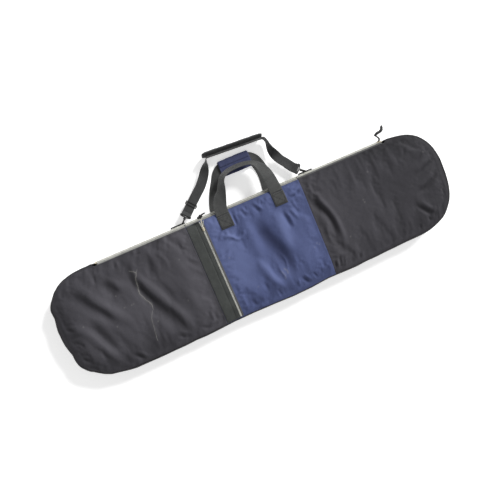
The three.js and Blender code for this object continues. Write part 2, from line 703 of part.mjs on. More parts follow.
// padded shoulder piece on its long edge, lower at its two ends
function shoulderPad() {
  const halfL = 122;
  const halfT = 8.2;
  const along = vec(1, PAD_SLOPE, 0).normalize();
  const across = vec(-along.y, along.x, 0);
  const centre = vec(PAD_X, PAD_RUN_Y + 10.1, PAD_Z);
  add('shoulder_pad', loft([-1, -0.92, -0.4, 0.4, 0.92, 1].map(s => {
    const halfH = 28 * (Math.abs(s) === 1 ? 0.82 : 1);
    return rect(-halfT, halfT, -halfH, halfH).map(([t, z]) =>
      pointAlong(centre, along, s * halfL).addScaledVector(across, t).add(vec(0, 0, z)));
  })), FINISH.black);
}

// ladder slide on the straight left leg
function strapAdjuster(leftEnd, leftDir) {
  const across = vec(leftDir.y, -leftDir.x, 0).normalize();
  const normal = leftDir.clone().cross(across).normalize();
  add('strap_adjuster', plate(rect(-23.5, 23.5, -3.6, 3.6), [rect(-20, 20, -1.9, 1.9)], 14,
    pointAlong(leftEnd, leftDir, 34), across, normal), FINISH.adjuster);
}

function shoulderStrap() {
  // each hook sits on the upper long side of its ring
  const leftEnd = strapHook('left',
    ringPoint(-236, RING_DEPTH), vec(0.72, 0.69, -0.2).normalize());
  const rightEnd = strapHook('right',
    ringPoint(283, RING_DEPTH), vec(-0.743, 0.669, -0.2).normalize());
  // both legs head in +X: away from the left end, towards the right end
  const leftDir = vec(-111, 321, 24).sub(leftEnd).normalize();
  const rightDir = rightEnd.clone().sub(vec(207, 304, 22)).normalize();
  strapWebbing(leftEnd, leftDir, rightEnd, rightDir);
  shoulderPad();
  strapAdjuster(leftEnd, leftDir);
}

// ---------------------------------------------------------------- assembly
backOuterPanel();
backFoam();
backLining();
frontSections();
pocketPanel();
pocketZip();
gussets();
piping();
mainZip();
mainSlider();
mainPull();
frontHandle();
backHandle();
gripWrap();
strapAnchors();
shoulderStrap();
pocketPull();

export default group;
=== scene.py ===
"""Padded snowboard bag with its zips, carrying handles and shoulder strap.

It lies on its back panel: X runs along it (tail at -X, nose at +X), the main zip and the
handles are on the +Y side, and the front cloth faces up, +Z. Left means -X, right means +X.
Lengths are millimetres; piece() turns them into metres.
"""
import math

import bpy
import numpy as np
from mathutils import Matrix, Vector


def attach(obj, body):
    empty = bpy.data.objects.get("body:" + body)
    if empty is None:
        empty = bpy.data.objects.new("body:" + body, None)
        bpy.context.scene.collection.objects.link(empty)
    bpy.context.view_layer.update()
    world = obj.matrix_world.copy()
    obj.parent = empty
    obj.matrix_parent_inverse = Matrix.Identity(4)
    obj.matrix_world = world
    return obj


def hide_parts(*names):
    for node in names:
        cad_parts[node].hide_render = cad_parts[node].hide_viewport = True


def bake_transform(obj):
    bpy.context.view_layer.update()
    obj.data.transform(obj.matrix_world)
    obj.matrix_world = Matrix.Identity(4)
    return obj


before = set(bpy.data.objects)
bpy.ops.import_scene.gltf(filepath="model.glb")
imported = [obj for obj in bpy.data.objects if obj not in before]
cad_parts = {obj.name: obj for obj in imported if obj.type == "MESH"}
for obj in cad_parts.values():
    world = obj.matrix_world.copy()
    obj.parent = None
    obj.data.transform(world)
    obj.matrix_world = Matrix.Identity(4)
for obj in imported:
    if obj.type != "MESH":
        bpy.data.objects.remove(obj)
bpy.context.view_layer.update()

MM = 0.001

# ---------------------------------------------------------------- driving dimensions
HALF_L, HALF_W = 798.5, 201.0
END = 220.0                          # length of each rounded end
END_POWER = 2.6                      # superellipse power of the ends
X_END = HALF_L - END                 # where the straight sides stop
SEAM_Z = 66.0                        # height of the front seam
CROWN, ROLL = 14.0, 70.0             # rise of the front, and the width it rises over
TAIL_SEAM, NOSE_SEAM = -232.0, 232.0      # the middle section lies between these
ZIP_EDGE_Y = 190.5                   # cloth edge beside the main zip
CHAIN_Y, CHAIN_Z = 202.5, 53.0       # middle of the main zip chain
CHAIN_ACROSS = np.array([0, -0.6606, 0.7507])
CHAIN_OUT = np.array([0, 0.7507, 0.6606])
ZIP_X0, ZIP_X1 = -579.0, 601.0
PITCH = 3.4                          # main zip teeth
POCKET_ZIP_X = -174.0
POCKET_PITCH = 2.6
WEB_W, WEB_T = 50, 2.2               # handle webbing
STRAP_W = 38                         # shoulder strap webbing
PATCH_LIFT = 0.3
FRONT_PATCHES = {"left": -111, "right": 111}       # left edges, each WEB_W wide
BACK_PATCHES = {"left": -119, "right": 103}
CLOTH_STEP = 3.0


# ---------------------------------------------------------------- curves and noise
def smooth(t):
    t = np.clip(t, 0, 1)
    return t * t * (3 - 2 * t)


def window(x, low, high, fade):
    """1 between low and high, easing to 0 at both over fade."""
    return smooth((x - low) / fade) * smooth((high - x) / fade)


def bell(x, centre, width):
    return np.exp(-((x - centre) / width) ** 2)


def squared(value, power):
    """Signed power: turns a sine or cosine into that of a squarer round."""
    return np.sign(value) * np.abs(value) ** power


def turn(count):
    return np.linspace(0, 2 * math.pi, count, endpoint=False)


def unit(v):
    return np.array(v, float) / np.linalg.norm(v)


def vnoise(x, y, scale, seed):
    """Smooth noise from -1 to 1 on a repeating 64 by 64 lattice of cells scale wide."""
    lattice = np.random.default_rng(1000 + seed).random((64, 64)) * 2 - 1
    u, v = np.asarray(x, float) / scale, np.asarray(y, float) / scale
    i, j = np.floor(u).astype(int), np.floor(v).astype(int)
    u, v = (t ** 3 * (t * (t * 6 - 15) + 10) for t in (u - i, v - j))

    def row(j):
        return lattice[i % 64, j % 64] * (1 - u) + lattice[(i + 1) % 64, j % 64] * u

    return row(j) * (1 - v) + row(j + 1) * v


def arc(path):
    """Length along a path at each of its points."""
    return np.concatenate([[0], np.cumsum(np.linalg.norm(np.diff(path, axis=0), axis=1))])


def sample(table, lengths, at):
    return np.stack([np.interp(at, lengths, column) for column in table.T], 1)


def resample(path, step):
    path = np.asarray(path, float)
    lengths = arc(path)
    count = max(int(lengths[-1] / step), 2)
    return sample(path, lengths, np.linspace(0, lengths[-1], count))


def catmull(points, step):
    """Smooth curve through rows of numbers, about every step of the first three columns."""
    points = np.asarray(points, float)
    if len(points) == 2:
        count = max(int(np.linalg.norm(points[1] - points[0]) / step), 1)
        return points[0] + (points[1] - points[0]) * np.linspace(0, 1, count + 1)[:, None]
    ext = np.vstack([2 * points[0] - points[1], points, 2 * points[-1] - points[-2]])
    out = []
    for a, b, c, d in zip(ext, ext[1:], ext[2:], ext[3:]):
        count = max(int(round(np.linalg.norm(c[:3] - b[:3]) / step)), 1)
        # centripetal knots, so that close points don't make loops
        knots = [0.0]
        for start, stop in ((a, b), (b, c), (c, d)):
            knots.append(knots[-1] + max(np.linalg.norm(stop[:3] - start[:3]) ** 0.5, 1e-6))
        t0, t1, t2, t3 = knots
        for t in np.linspace(t1, t2, count + 1)[:-1]:
            ab = (t1 - t) / (t1 - t0) * a + (t - t0) / (t1 - t0) * b
            bc = (t2 - t) / (t2 - t1) * b + (t - t1) / (t2 - t1) * c
            cd = (t3 - t) / (t3 - t2) * c + (t - t2) / (t3 - t2) * d
            abc = (t2 - t) / (t2 - t0) * ab + (t - t0) / (t2 - t0) * bc
            bcd = (t3 - t) / (t3 - t1) * bc + (t - t1) / (t3 - t1) * cd
            out.append((t2 - t) / (t2 - t1) * abc + (t - t1) / (t2 - t1) * bcd)
    out.append(points[-1])
    return np.array(out)


def stroke_field(x, y, points, width, taper=0.3):
    """Along a curve: 1 on it, fading across over width and towards its ends."""
    curve = catmull(points, 14.0)
    lengths = arc(curve)
    low, high = curve.min(0) - 3 * width, curve.max(0) + 3 * width
    near = (x > low[0]) & (x < high[0]) & (y > low[1]) & (y < high[1])
    out = np.zeros_like(x)
    if not near.any():
        return out
    px, py = x[near], y[near]
    best = np.full(px.shape, 1e9)
    where = np.zeros(px.shape)
    for i in range(len(curve) - 1):
        start = curve[i]
        run = curve[i + 1] - start
        t = np.clip(((px - start[0]) * run[0] + (py - start[1]) * run[1]) / (run @ run), 0, 1)
        dist = np.hypot(px - start[0] - t * run[0], py - start[1] - t * run[1])
        closer = dist < best
        best = np.where(closer, dist, best)
        where = np.where(closer, lengths[i] + t * (lengths[i + 1] - lengths[i]), where)
    f = where / lengths[-1]
    out[near] = np.exp(-(best / width) ** 2) * smooth(f / taper) * smooth((1 - f) / taper)
    return out


# ---------------------------------------------------------------- plain shape of the bag
def half_width(x, inward=0.0):
    t = np.clip((np.abs(x) - X_END) / (END - inward), 0, 1)
    return (HALF_W - inward) * np.power(np.maximum(1 - t ** END_POWER, 0), 1 / END_POWER)


def inset(x, y):
    """How far a point lies inside the outline."""
    t = np.maximum(np.abs(x) - X_END, 0) / END
    r = np.power(t ** END_POWER + (np.abs(y) / HALF_W) ** END_POWER, 1 / END_POWER)
    return (1 - r) * HALF_W


def cad_front(x, y):
    """Height of the plain crowned front."""
    t = np.clip(inset(x, y) / ROLL, 0, 1)
    return SEAM_Z + CROWN * (1 - (1 - t) ** 2)


def pocket_lift(x, y):
    """How far the pocket stands over the front."""
    return 0.5 + 3.2 * smooth(inset(x, y) / 60)


def top_edge(x):
    """+Y limit of the front cloth: along the zip, then out to the outline past its ends."""
    past = np.where(x > 0, x - 605, -x - 588)
    return ZIP_EDGE_Y + (HALF_W - ZIP_EDGE_Y) * np.clip(past / 14, 0, 1)


# ---------------------------------------------------------------- folds of the front
# width, height and taper of each fold, then x, y of each point along it
FOLDS = [
    # tail section
    (20, -5.5, 0.35, -505, 150, -490, 95, -473, 42, -453, -12, -418, -88, -376, -168),
    (15, 5.5, 0.3, -478, 142, -458, 85, -432, 28, -399, -40, -366, -108, -345, -170),
    (34, -1.6, 0.4, -440, 60, -408, 0, -372, -70, -350, -120),
    (20, -4.2, 0.3, -728, 158, -676, 86, -645, 43, -609, -2, -583, -35),
    (17, 4.6, 0.3, -652, 162, -648, 112, -622, 58, -574, -12, -545, -60),
    (18, -3.6, 0.35, -592, 128, -566, 82, -548, 52),
    (15, 2.2, 0.4, -566, 140, -540, 96, -520, 55),
    (17, 4.4, 0.3, -766, 35, -714, -12, -679, -70, -648, -130, -618, -178),
    (17, -4.4, 0.35, -695, 16, -663, -44, -637, -110, -622, -140),
    (10, 2.8, 0.3, -385, 172, -352, 124, -345, 84, -366, 58),
    (12, -2.2, 0.35, -400, 160, -410, 100, -430, 56),
    (9, -1.8, 0.35, -372, 128, -368, 100, -384, 76),
    (8, -3.2, 0.35, -593, -146, -541, -203), (8, 2.2, 0.35, -578, -138, -527, -196),
    (8, -2.8, 0.35, -425, -150, -371, -190), (8, 1.8, 0.35, -412, -140, -356, -180),
    (7, -2.2, 0.35, -344, -155, -314, -172, -268, -196),
    (7, 1.6, 0.35, -298, -178, -260, -160),
    (6, -2.4, 0.3, -518, 182, -529, 145), (6, 1.6, 0.3, -505, 182, -516, 148),
    (6, -2.2, 0.3, -603, 166, -610, 126), (6, 1.8, 0.3, -508, 120, -492, 150),
    (6, -1.6, 0.3, -450, 172, -413, 167), (9, -2.2, 0.3, -732, -6, -778, 24),
    (9, -2.2, 0.3, -764, -31, -726, -76), (8, -1.8, 0.3, -764, -94, -727, -128),
    (24, 1.4, 0.3, -310, 120, -296, 40, -302, -40, -290, -120),
    (26, 1.6, 0.4, -560, 30, -525, -40, -495, -110),
    # middle section
    (26, -6.2, 0.28, 8, 132, 22, 67, 38, 6, 56, -45, 66, -106, 60, -170),
    (14, 4.4, 0.3, -36, -14, -27, -61, -8, -115, 26, -172),
    (20, 3.0, 0.35, -28, 140, -20, 66, -16, -7, -14, -40),
    (20, 4.0, 0.3, 92, 134, 96, 66, 97, 5, 92, -60),
    (6, 2.6, 0.3, 48, -29, 63, -68, 57, -103, 45, -132),
    (6, 2.0, 0.3, 24, -77, 31, -107, 38, -142),
    (8, 3.4, 0.25, -137, 93, -98, 97, -69, 72, -44, 80, -38, 121),
    (8, -3.2, 0.3, -113, 128, -138, 108, -168, 88),
    (9, -3.0, 0.3, -60, 118, -62, 96, -84, 78, -120, 76),
    (6, -3.0, 0.25, -55, 174, -57, 111), (6, 2.0, 0.3, -43, 172, -44, 120),
    (8, -2.4, 0.3, -118, 55, -160, 28), (8, 1.8, 0.3, -112, 42, -152, 15),
    (6, 2.0, 0.3, -163, 92, -130, 116), (6, -1.6, 0.3, -158, -72, -124, -64),
    (6, 1.6, 0.3, -161, -111, -128, -110),
    (6, -3.0, 0.25, 167, 128, 203, 141, 228, 158), (6, 2.2, 0.3, 170, 138, 200, 152, 222, 168),
    (8, -3.0, 0.3, 168, 125, 178, 95, 186, 60), (7, 2.4, 0.3, 154, 108, 168, 72, 181, 44),
    (9, -3.0, 0.3, 120, 115, 131, 64, 136, 20), (8, 2.2, 0.3, 134, 112, 148, 62, 150, 20),
    (7, -2.6, 0.25, -22, 180, -8, 133), (6, -2.0, 0.3, 3, 180, -3, 152),
    (8, -2.8, 0.25, 23, 180, 51, 122), (7, 2.0, 0.3, -10, 180, 6, 140),
    (7, 2.2, 0.3, 38, 180, 62, 132), (6, -2.0, 0.3, 70, 179, 57, 150),
    (8, 2.0, 0.3, 84, 180, 96, 140), (7, -2.6, 0.25, -12, -150, -1, -194),
    (7, -2.6, 0.25, 90, -148, 119, -190), (6, -2.2, 0.25, 143, -150, 159, -184),
    (8, -2.0, 0.3, -48, -105, -40, -165), (6, 2.0, 0.3, 69, -180, 84, -150),
    (7, 2.0, 0.3, 104, -140, 134, -182), (8, -1.8, 0.3, -120, -150, -100, -190),
    (16, 1.6, 0.3, 200, 60, 206, 0, 200, -60),
    # nose section
    (13, -4.4, 0.25, 244, 122, 257, 69, 281, 29, 290, -16, 286, -60, 286, -100),
    (11, 4.4, 0.25, 264, 155, 277, 92, 300, 31, 310, -17, 311, -70, 302, -136),
    (9, 2.4, 0.3, 291, 0, 264, -21, 260, -68, 274, -108),
    (6, -2.4, 0.3, 235, -180, 248, -145), (7, -3.0, 0.25, 259, -188, 271, -130),
    (6, 2.6, 0.3, 278, -190, 288, -150), (7, -2.4, 0.3, 339, -188, 345, -158),
    (6, 2.2, 0.3, 248, -184, 260, -140), (7, 1.6, 0.3, 352, -186, 357, -160),
    (11, -3.0, 0.3, 655, 10, 701, 34, 770, 56), (12, 1.8, 0.3, 660, 30, 700, 52, 760, 76),
    (12, -3.2, 0.3, 634, -46, 699, -31, 766, 3), (12, 1.8, 0.3, 640, -26, 700, -10, 762, 22),
    (10, -3.4, 0.3, 613, -69, 640, -116, 676, -160),
    (11, 2.6, 0.3, 636, -62, 664, -112, 700, -150),
    (8, -1.8, 0.3, 637, 92, 675, 150), (8, -1.6, 0.3, 685, 64, 733, 101),
    (6, -1.4, 0.3, 574, 153, 599, 173), (8, 1.2, 0.3, 483, 120, 513, 152),
    (6, -1.6, 0.3, 599, -183, 606, -160), (6, -1.6, 0.3, 657, -174, 645, -146),
    (60, 1.6, 0.35, 400, 130, 440, 20, 470, -110),
    (60, -1.2, 0.35, 520, 110, 540, -10, 560, -130),
]
NARROW_GAIN, BROAD_GAIN = 1.15, 1.75      # heights are multiplied by these
FOLD_LIMIT = 10.5                         # greatest height or depth of the cloth


def seam_coordinate(x, y):
    """Roughly the distance along the nearest long edge, for puckers that run off it."""
    a = np.arctan2(np.clip(np.abs(x) - X_END, 0, None), np.maximum(np.abs(y), 1))
    return x + np.sign(x) * a * 40


def puckers(x, y):
    """Small gathers running in from the seams; strongest over the left half of the zip side."""
    e = inset(x, y)
    s = seam_coordinate(x, y)
    top = y > 0
    skew = np.where(top, 0.42, -0.5) * e
    h = (vnoise(s + skew, top * 40.0, scale=15, seed=11) * 0.9
         + vnoise(s + skew * 0.6, top * 40.0 + 9, scale=31, seed=12) * 1.1)
    gathered = window(x, -640, -210, 60)
    height = np.where(top, 2.6 + 3.8 * gathered, 2.2)
    height = height * (0.6 + 0.4 * vnoise(s, 3.0, scale=90, seed=14))
    reach = np.where(top, 26.0 + 12.0 * gathered, 20.0)
    h = h * height * smooth(e / 7.0) * np.exp(-(np.maximum(e - 9.0, 0) / reach) ** 1.3)
    # short gathers running across X, near both ends of the middle section
    for seam_x, seed in ((TAIL_SEAM + 55, 21), (NOSE_SEAM, 22)):
        d = np.abs(x - seam_x)
        fade = smooth(d / 4.0) * np.exp(-(d / 17.0) ** 1.5) * smooth(e / 20)
        h = h + vnoise(y + 0.3 * d, x * 0, scale=21, seed=seed) * fade
    return h


def sim_height(x, y):
    """Simulated buckles, by cubic interpolation in their grid."""
    if BUCKLES is None:
        return np.zeros_like(x)
    heights, x0, y0, dx, dy = BUCKLES
    n, m = heights.shape
    u = np.clip((x - x0) / dx, 0, n - 1.001)
    v = np.clip((y - y0) / dy, 0, m - 1.001)
    i, j = u.astype(int), v.astype(int)

    def cubic(p0, p1, p2, p3, t):
        bend = 2 * p0 - 5 * p1 + 4 * p2 - p3 + t * (3 * (p1 - p2) + p3 - p0)
        return p1 + 0.5 * t * (p2 - p0 + t * bend)

    rows = []
    for k in (-1, 0, 1, 2):
        a = np.clip(i + k, 0, n - 1)
        row = [heights[a, np.clip(j + b, 0, m - 1)] for b in (-1, 0, 1, 2)]
        rows.append(cubic(*row, v - j))
    return cubic(*rows, u - i)


def folds(x, y):
    """Height of the cloth over the plain crowned front."""
    h = np.zeros_like(x)
    for width, height, taper, *points in FOLDS:
        broad = float(smooth((width - 8.0) / 7.0))
        gain = NARROW_GAIN + (BROAD_GAIN - NARROW_GAIN) * broad
        h = h + gain * height * stroke_field(
            x, y, np.reshape(points, (-1, 2)), width=width * (0.82 + 0.18 * broad),
            taper=taper + 0.14 * (1 - broad))
    e = inset(x, y)
    h = h + vnoise(x, y, scale=120, seed=1) * 1.3
    h = h + vnoise(x + 0.4 * y, y - 0.3 * x, scale=55, seed=2) * 0.8
    h = h + vnoise(x, y, scale=24, seed=3) * 0.25
    # slanting drag lines, stronger over the tail
    u, v = 0.93 * x + 0.37 * y, 0.93 * y - 0.37 * x
    over_tail = smooth((-235 - x) / 40)
    h = h + vnoise(u, v / 3.2, scale=24, seed=4) * (0.35 + 0.85 * over_tail)
    h = h + vnoise(u, v / 2.6, scale=13, seed=5) * 0.35 * over_tail
    h = h * smooth(e / 26.0)
    h = h + puckers(x, y) + sim_height(x, y)
    # flat under the sewn patches, flatter at the nose seam
    for start in FRONT_PATCHES.values():
        h = h * (1 - 0.92 * window(x, start - 9, start + WEB_W + 9, 9) * smooth((y - 118) / 9))
    h = h * (1 - 0.55 * bell(x, NOSE_SEAM, 7.0))
    return FOLD_LIMIT * np.tanh(h / FOLD_LIMIT)


def front(x, y):
    """Outer face of the front sections, pressed down a little under the pocket."""
    under_pocket = smooth((-226 - x) / 14)
    h = folds(x, y) * (1 - 0.9 * window(x, -236, -152, 8))      # flat along the pocket zip
    h = np.where(h > 0, h * (1 - 0.8 * under_pocket), h)
    return cad_front(x, y) + h


def pocket_top(x, y):
    h = folds(x, y) * (1 - 0.85 * smooth((x + 240) / 12))       # the stiff band keeps folds out
    h = np.where(h > 0, h, h * 0.98) * smooth(inset(x, y) / 10)
    return cad_front(x, y) + pocket_lift(x, y) + 1.1 + h


# ---------------------------------------------------------------- materials
class Shader:
    """The node tree of one material, with short ways to add nodes."""

    def __init__(self, tree):
        self.tree = tree

    def new(self, kind, **props):
        node = self.tree.nodes.new(kind)
        for key, value in props.items():
            setattr(node, key, value)
        return node

    def feed(self, socket, source):
        """Link a socket, or set a number or an RGB colour."""
        if isinstance(source, bpy.types.NodeSocket):
            self.tree.links.new(source, socket)
        elif isinstance(source, tuple):
            socket.default_value = (*source, 1)
        else:
            socket.default_value = source

    def surface(self, inputs):
        for key, source in inputs.items():
            self.feed(self.tree.nodes["Principled BSDF"].inputs[key], source)

    def math(self, operation, *values):
        node = self.new("ShaderNodeMath", operation=operation)
        for socket, value in zip(node.inputs, values):
            self.feed(socket, value)
        return node.outputs[0]

    def mul(self, a, b):
        return self.math("MULTIPLY", a, b)

    def add(self, a, b):
        return self.math("ADD", a, b)

    def invert(self, a):
        return self.math("SUBTRACT", 1.0, a)

    def sine(self, a, k):
        return self.math("SINE", self.mul(a, k))

    def uv(self):
        return self.new("ShaderNodeUVMap", uv_map="UVMap").outputs[0]

    def uv_axes(self, uv):
        node = self.new("ShaderNodeSeparateXYZ")
        self.feed(node.inputs[0], uv)
        return node.outputs[0], node.outputs[1]

    def coords(self):
        return self.new("ShaderNodeTexCoord").outputs["Object"]

    def scaled(self, vector, scale_u, scale_v):
        node = self.new("ShaderNodeMapping")
        self.feed(node.inputs["Vector"], vector)
        node.inputs["Scale"].default_value = (scale_u, scale_v, 1.0)
        return node.outputs[0]

    def noise(self, vector, scale, detail=3.0, rough=0.55, distortion=0.0):
        node = self.new("ShaderNodeTexNoise")
        for key, source in (("Vector", vector), ("Scale", scale), ("Detail", detail),
                            ("Roughness", rough), ("Distortion", distortion)):
            self.feed(node.inputs[key], source)
        return node.outputs["Fac"]

    def ramp(self, value, span, to=(0.0, 1.0)):
        """Spread the range span over the range to."""
        node = self.new("ShaderNodeMapRange")
        for socket, source in zip(node.inputs, (value, *span, *to)):
            self.feed(socket, source)
        return node.outputs[0]

    def mix(self, factor, a, b):
        node = self.new("ShaderNodeMix", data_type="RGBA")
        for index, source in ((0, factor), (6, a), (7, b)):
            self.feed(node.inputs[index], source)
        return node.outputs[2]

    def attr(self, name):
        return self.new("ShaderNodeAttribute", attribute_name=name).outputs["Fac"]

    def bump(self, height, strength, distance, normal=None):
        node = self.new("ShaderNodeBump")
        self.feed(node.inputs["Strength"], strength)
        self.feed(node.inputs["Distance"], distance)
        self.feed(node.inputs["Height"], height)
        if normal is not None:
            self.feed(node.inputs["Normal"], normal)
        return node.outputs[0]


def make_material(name, build, **settings):
    material = bpy.data.materials.new(name)
    material.use_nodes = True
    build(Shader(material.node_tree), **settings)
    return material


def woven(s, base, dark, light, thread=0.55, rough=0.82, sheen=0.10, tint=(1, 1, 1),
          wear=None, wear_amount=0.5, painted=False, bump=0.35):
    """Plain weave in UV metres: threads over and under, patchy fading, lint, worn edges.

    painted cloth also takes its marks, and a tone of painted light and shade, from attributes:
    painted highlight on ridges, painted shade in valleys, on slopes turned from the key light and
    towards the ends, with some lighter and darker patches.
    """
    uv = s.uv()
    u, v = s.uv_axes(uv)
    k = 2 * math.pi / (thread * 2 * MM)
    over = s.mul(s.sine(u, k), s.sine(v, k))            # checker of warp over weft
    round_u = s.math("ABSOLUTE", s.math("COSINE", s.mul(u, k)))
    round_v = s.math("ABSOLUTE", s.math("COSINE", s.mul(v, k)))
    on_top = s.ramp(over, (-0.35, 0.35))
    rib = s.add(s.mul(on_top, round_u), s.mul(s.invert(on_top), round_v))
    big = s.noise(uv, scale=5.0, detail=4.0, rough=0.6, distortion=0.6)
    mid = s.noise(uv, scale=38.0, detail=3.0, rough=0.6)
    # uneven yarns both ways
    slub = s.noise(s.scaled(uv, 40.0, 900.0), scale=1.0, detail=2.0)
    cross_slub = s.noise(s.scaled(uv, 900.0, 40.0), scale=1.0, detail=2.0)
    patch = s.ramp(s.add(s.mul(big, 0.7), s.mul(mid, 0.3)), (0.22, 0.78))
    colour = s.mix(s.mul(patch, 0.5), base, light)
    colour = s.mix(s.mul(s.invert(rib), 0.42), colour, dark)
    yarn = s.mul(s.ramp(s.mul(slub, cross_slub), (0.2, 0.34)), 0.22)
    colour = s.mix(yarn, colour, light)
    lint = s.ramp(s.noise(uv, scale=620.0, detail=2.0, rough=0.7), (0.70, 0.78))
    colour = s.mix(s.mul(lint, 0.16), colour, (0.32, 0.31, 0.30))
    if painted:
        # tone: painted highlight mixed towards light, painted shade mixed towards dark
        tone = s.attr("tone")
        colour = s.mix(s.math("MAXIMUM", tone, 0.0), colour, light)
        colour = s.mix(s.math("MAXIMUM", s.mul(tone, -1.0), 0.0), colour, dark)
    if wear is not None:
        edge = s.attr("edge")
        fuzz = s.ramp(s.noise(uv, scale=210.0, detail=3.0, rough=0.7), (0.35, 0.7))
        colour = s.mix(s.mul(s.mul(edge, fuzz), wear_amount), colour, wear)
    roughness = s.ramp(mid, (0.3, 0.7), to=(rough - 0.06, rough + 0.07))
    if painted:
        mark = s.attr("mark")
        broken = s.ramp(s.noise(uv, scale=330.0, detail=2.0), (0.3, 0.6))
        colour = s.mix(s.mul(mark, broken), colour, (0.36, 0.35, 0.33))
    relief = s.add(s.mul(rib, 0.8), s.mul(slub, 0.3))
    weave = s.bump(relief, strength=bump, distance=0.00028)
    s.surface({"Base Color": colour, "Roughness": roughness, "Specular IOR Level": 0.28,
               "Sheen Weight": sheen, "Sheen Roughness": 0.45, "Sheen Tint": tint,
               "Normal": s.bump(mid, strength=0.18, distance=0.0011, normal=weave)})


def webbing(s, base, dark, light, across=1.35, bump=0.6):
    """Ribbed webbing: u runs across it, v along it. Herringbone ribs, paler selvedges."""
    uv = s.uv()
    u, v = s.uv_axes(uv)
    zigzag = s.mul(s.math("PINGPONG", v, 0.0011), 0.55)
    ribs = s.sine(s.add(u, zigzag), 2 * math.pi / (across * MM))
    picks = s.sine(v, 2 * math.pi / (0.9 * MM))
    rib = s.ramp(ribs, (-1, 1))
    pick = s.ramp(picks, (-1, 1))
    big = s.noise(uv, scale=26.0, detail=4.0, rough=0.6)
    fine = s.noise(s.scaled(uv, 700.0, 160.0), scale=1.0, detail=2.0)
    colour = s.mix(s.ramp(big, (0.3, 0.7)), base, light)
    colour = s.mix(s.mul(s.invert(rib), 0.55), colour, dark)
    colour = s.mix(s.mul(s.invert(pick), 0.22), colour, dark)
    colour = s.mix(s.mul(s.ramp(fine, (0.55, 0.75)), 0.18), colour, light)
    colour = s.mix(s.mul(s.attr("edge"), 0.25), colour, light)
    relief = s.add(s.mul(rib, 0.7), s.mul(pick, 0.4))
    s.surface({"Base Color": colour, "Roughness": s.ramp(big, (0.3, 0.7), to=(0.62, 0.78)),
               "Specular IOR Level": 0.35, "Sheen Weight": 0.18, "Sheen Roughness": 0.4,
               "Normal": s.bump(relief, strength=bump, distance=0.0004)})


def moulded(s, base, dark, rough, grime, spec=0.45, scale=90.0, coat=0.0):
    """Moulded or coated hard pieces: faint orange peel, grime in patches, rubbed spots."""
    coords = s.coords()
    patches = s.noise(coords, scale=scale, detail=4.0, rough=0.6)
    peel = s.noise(coords, scale=scale * 7, detail=2.0, rough=0.6)
    colour = s.mix(s.mul(s.ramp(patches, (0.42, 0.68)), grime), base, dark)
    geometry = s.new("ShaderNodeNewGeometry")
    rubbed = s.ramp(geometry.outputs["Pointiness"], (0.53, 0.62))
    lighter = tuple(min(c * 1.6 + 0.02, 1) for c in base)
    colour = s.mix(s.mul(rubbed, 0.5), colour, lighter)
    s.surface({"Base Color": colour,
               "Roughness": s.ramp(peel, (0.3, 0.7), to=(rough - 0.07, rough + 0.1)),
               "Specular IOR Level": spec, "Coat Weight": coat,
               "Normal": s.bump(peel, strength=0.12, distance=0.0002)})


def cord(s, base, light, pitch=2.2, rough=0.65):
    """Braided cord: u once round it, v along it in metres."""
    uv = s.uv()
    u, v = s.uv_axes(uv)
    per_metre = 2 * math.pi / (pitch * MM)
    per_turn = 2 * math.pi * 4
    strands = [s.math("SINE", s.math(way, s.mul(u, per_turn), s.mul(v, per_metre)))
               for way in ("ADD", "SUBTRACT")]
    braid = s.ramp(s.mul(*strands), (-0.8, 0.8))
    uneven = s.noise(uv, scale=120.0, detail=3.0)
    shade = s.mul(braid, s.ramp(uneven, (0.2, 0.8), to=(0.5, 1.0)))
    s.surface({"Base Color": s.mix(shade, base, light),
               "Roughness": s.ramp(uneven, (0.3, 0.7), to=(rough - 0.08, rough + 0.1)),
               "Sheen Weight": 0.15, "Normal": s.bump(braid, strength=0.6, distance=0.0005)})


def foam(s, base, dark):
    """Closed cells with soft dark patches."""
    coords = s.coords()
    voronoi = s.new("ShaderNodeTexVoronoi")
    s.feed(voronoi.inputs["Vector"], coords)
    s.feed(voronoi.inputs["Scale"], 900)
    cells = s.ramp(voronoi.outputs["Distance"], (0.1, 0.6))
    big = s.noise(coords, scale=25, detail=3.0)
    colour = s.mix(s.mul(s.invert(cells), 0.5), base, dark)
    colour = s.mix(s.mul(big, 0.3), colour, dark)
    s.surface({"Base Color": colour, "Roughness": s.ramp(big, (0.3, 0.7), to=(0.85, 0.96)),
               "Normal": s.bump(cells, strength=0.4, distance=0.0005)})


BLUE = (0.75, 0.82, 1.0)             # sheen of the navy cloths
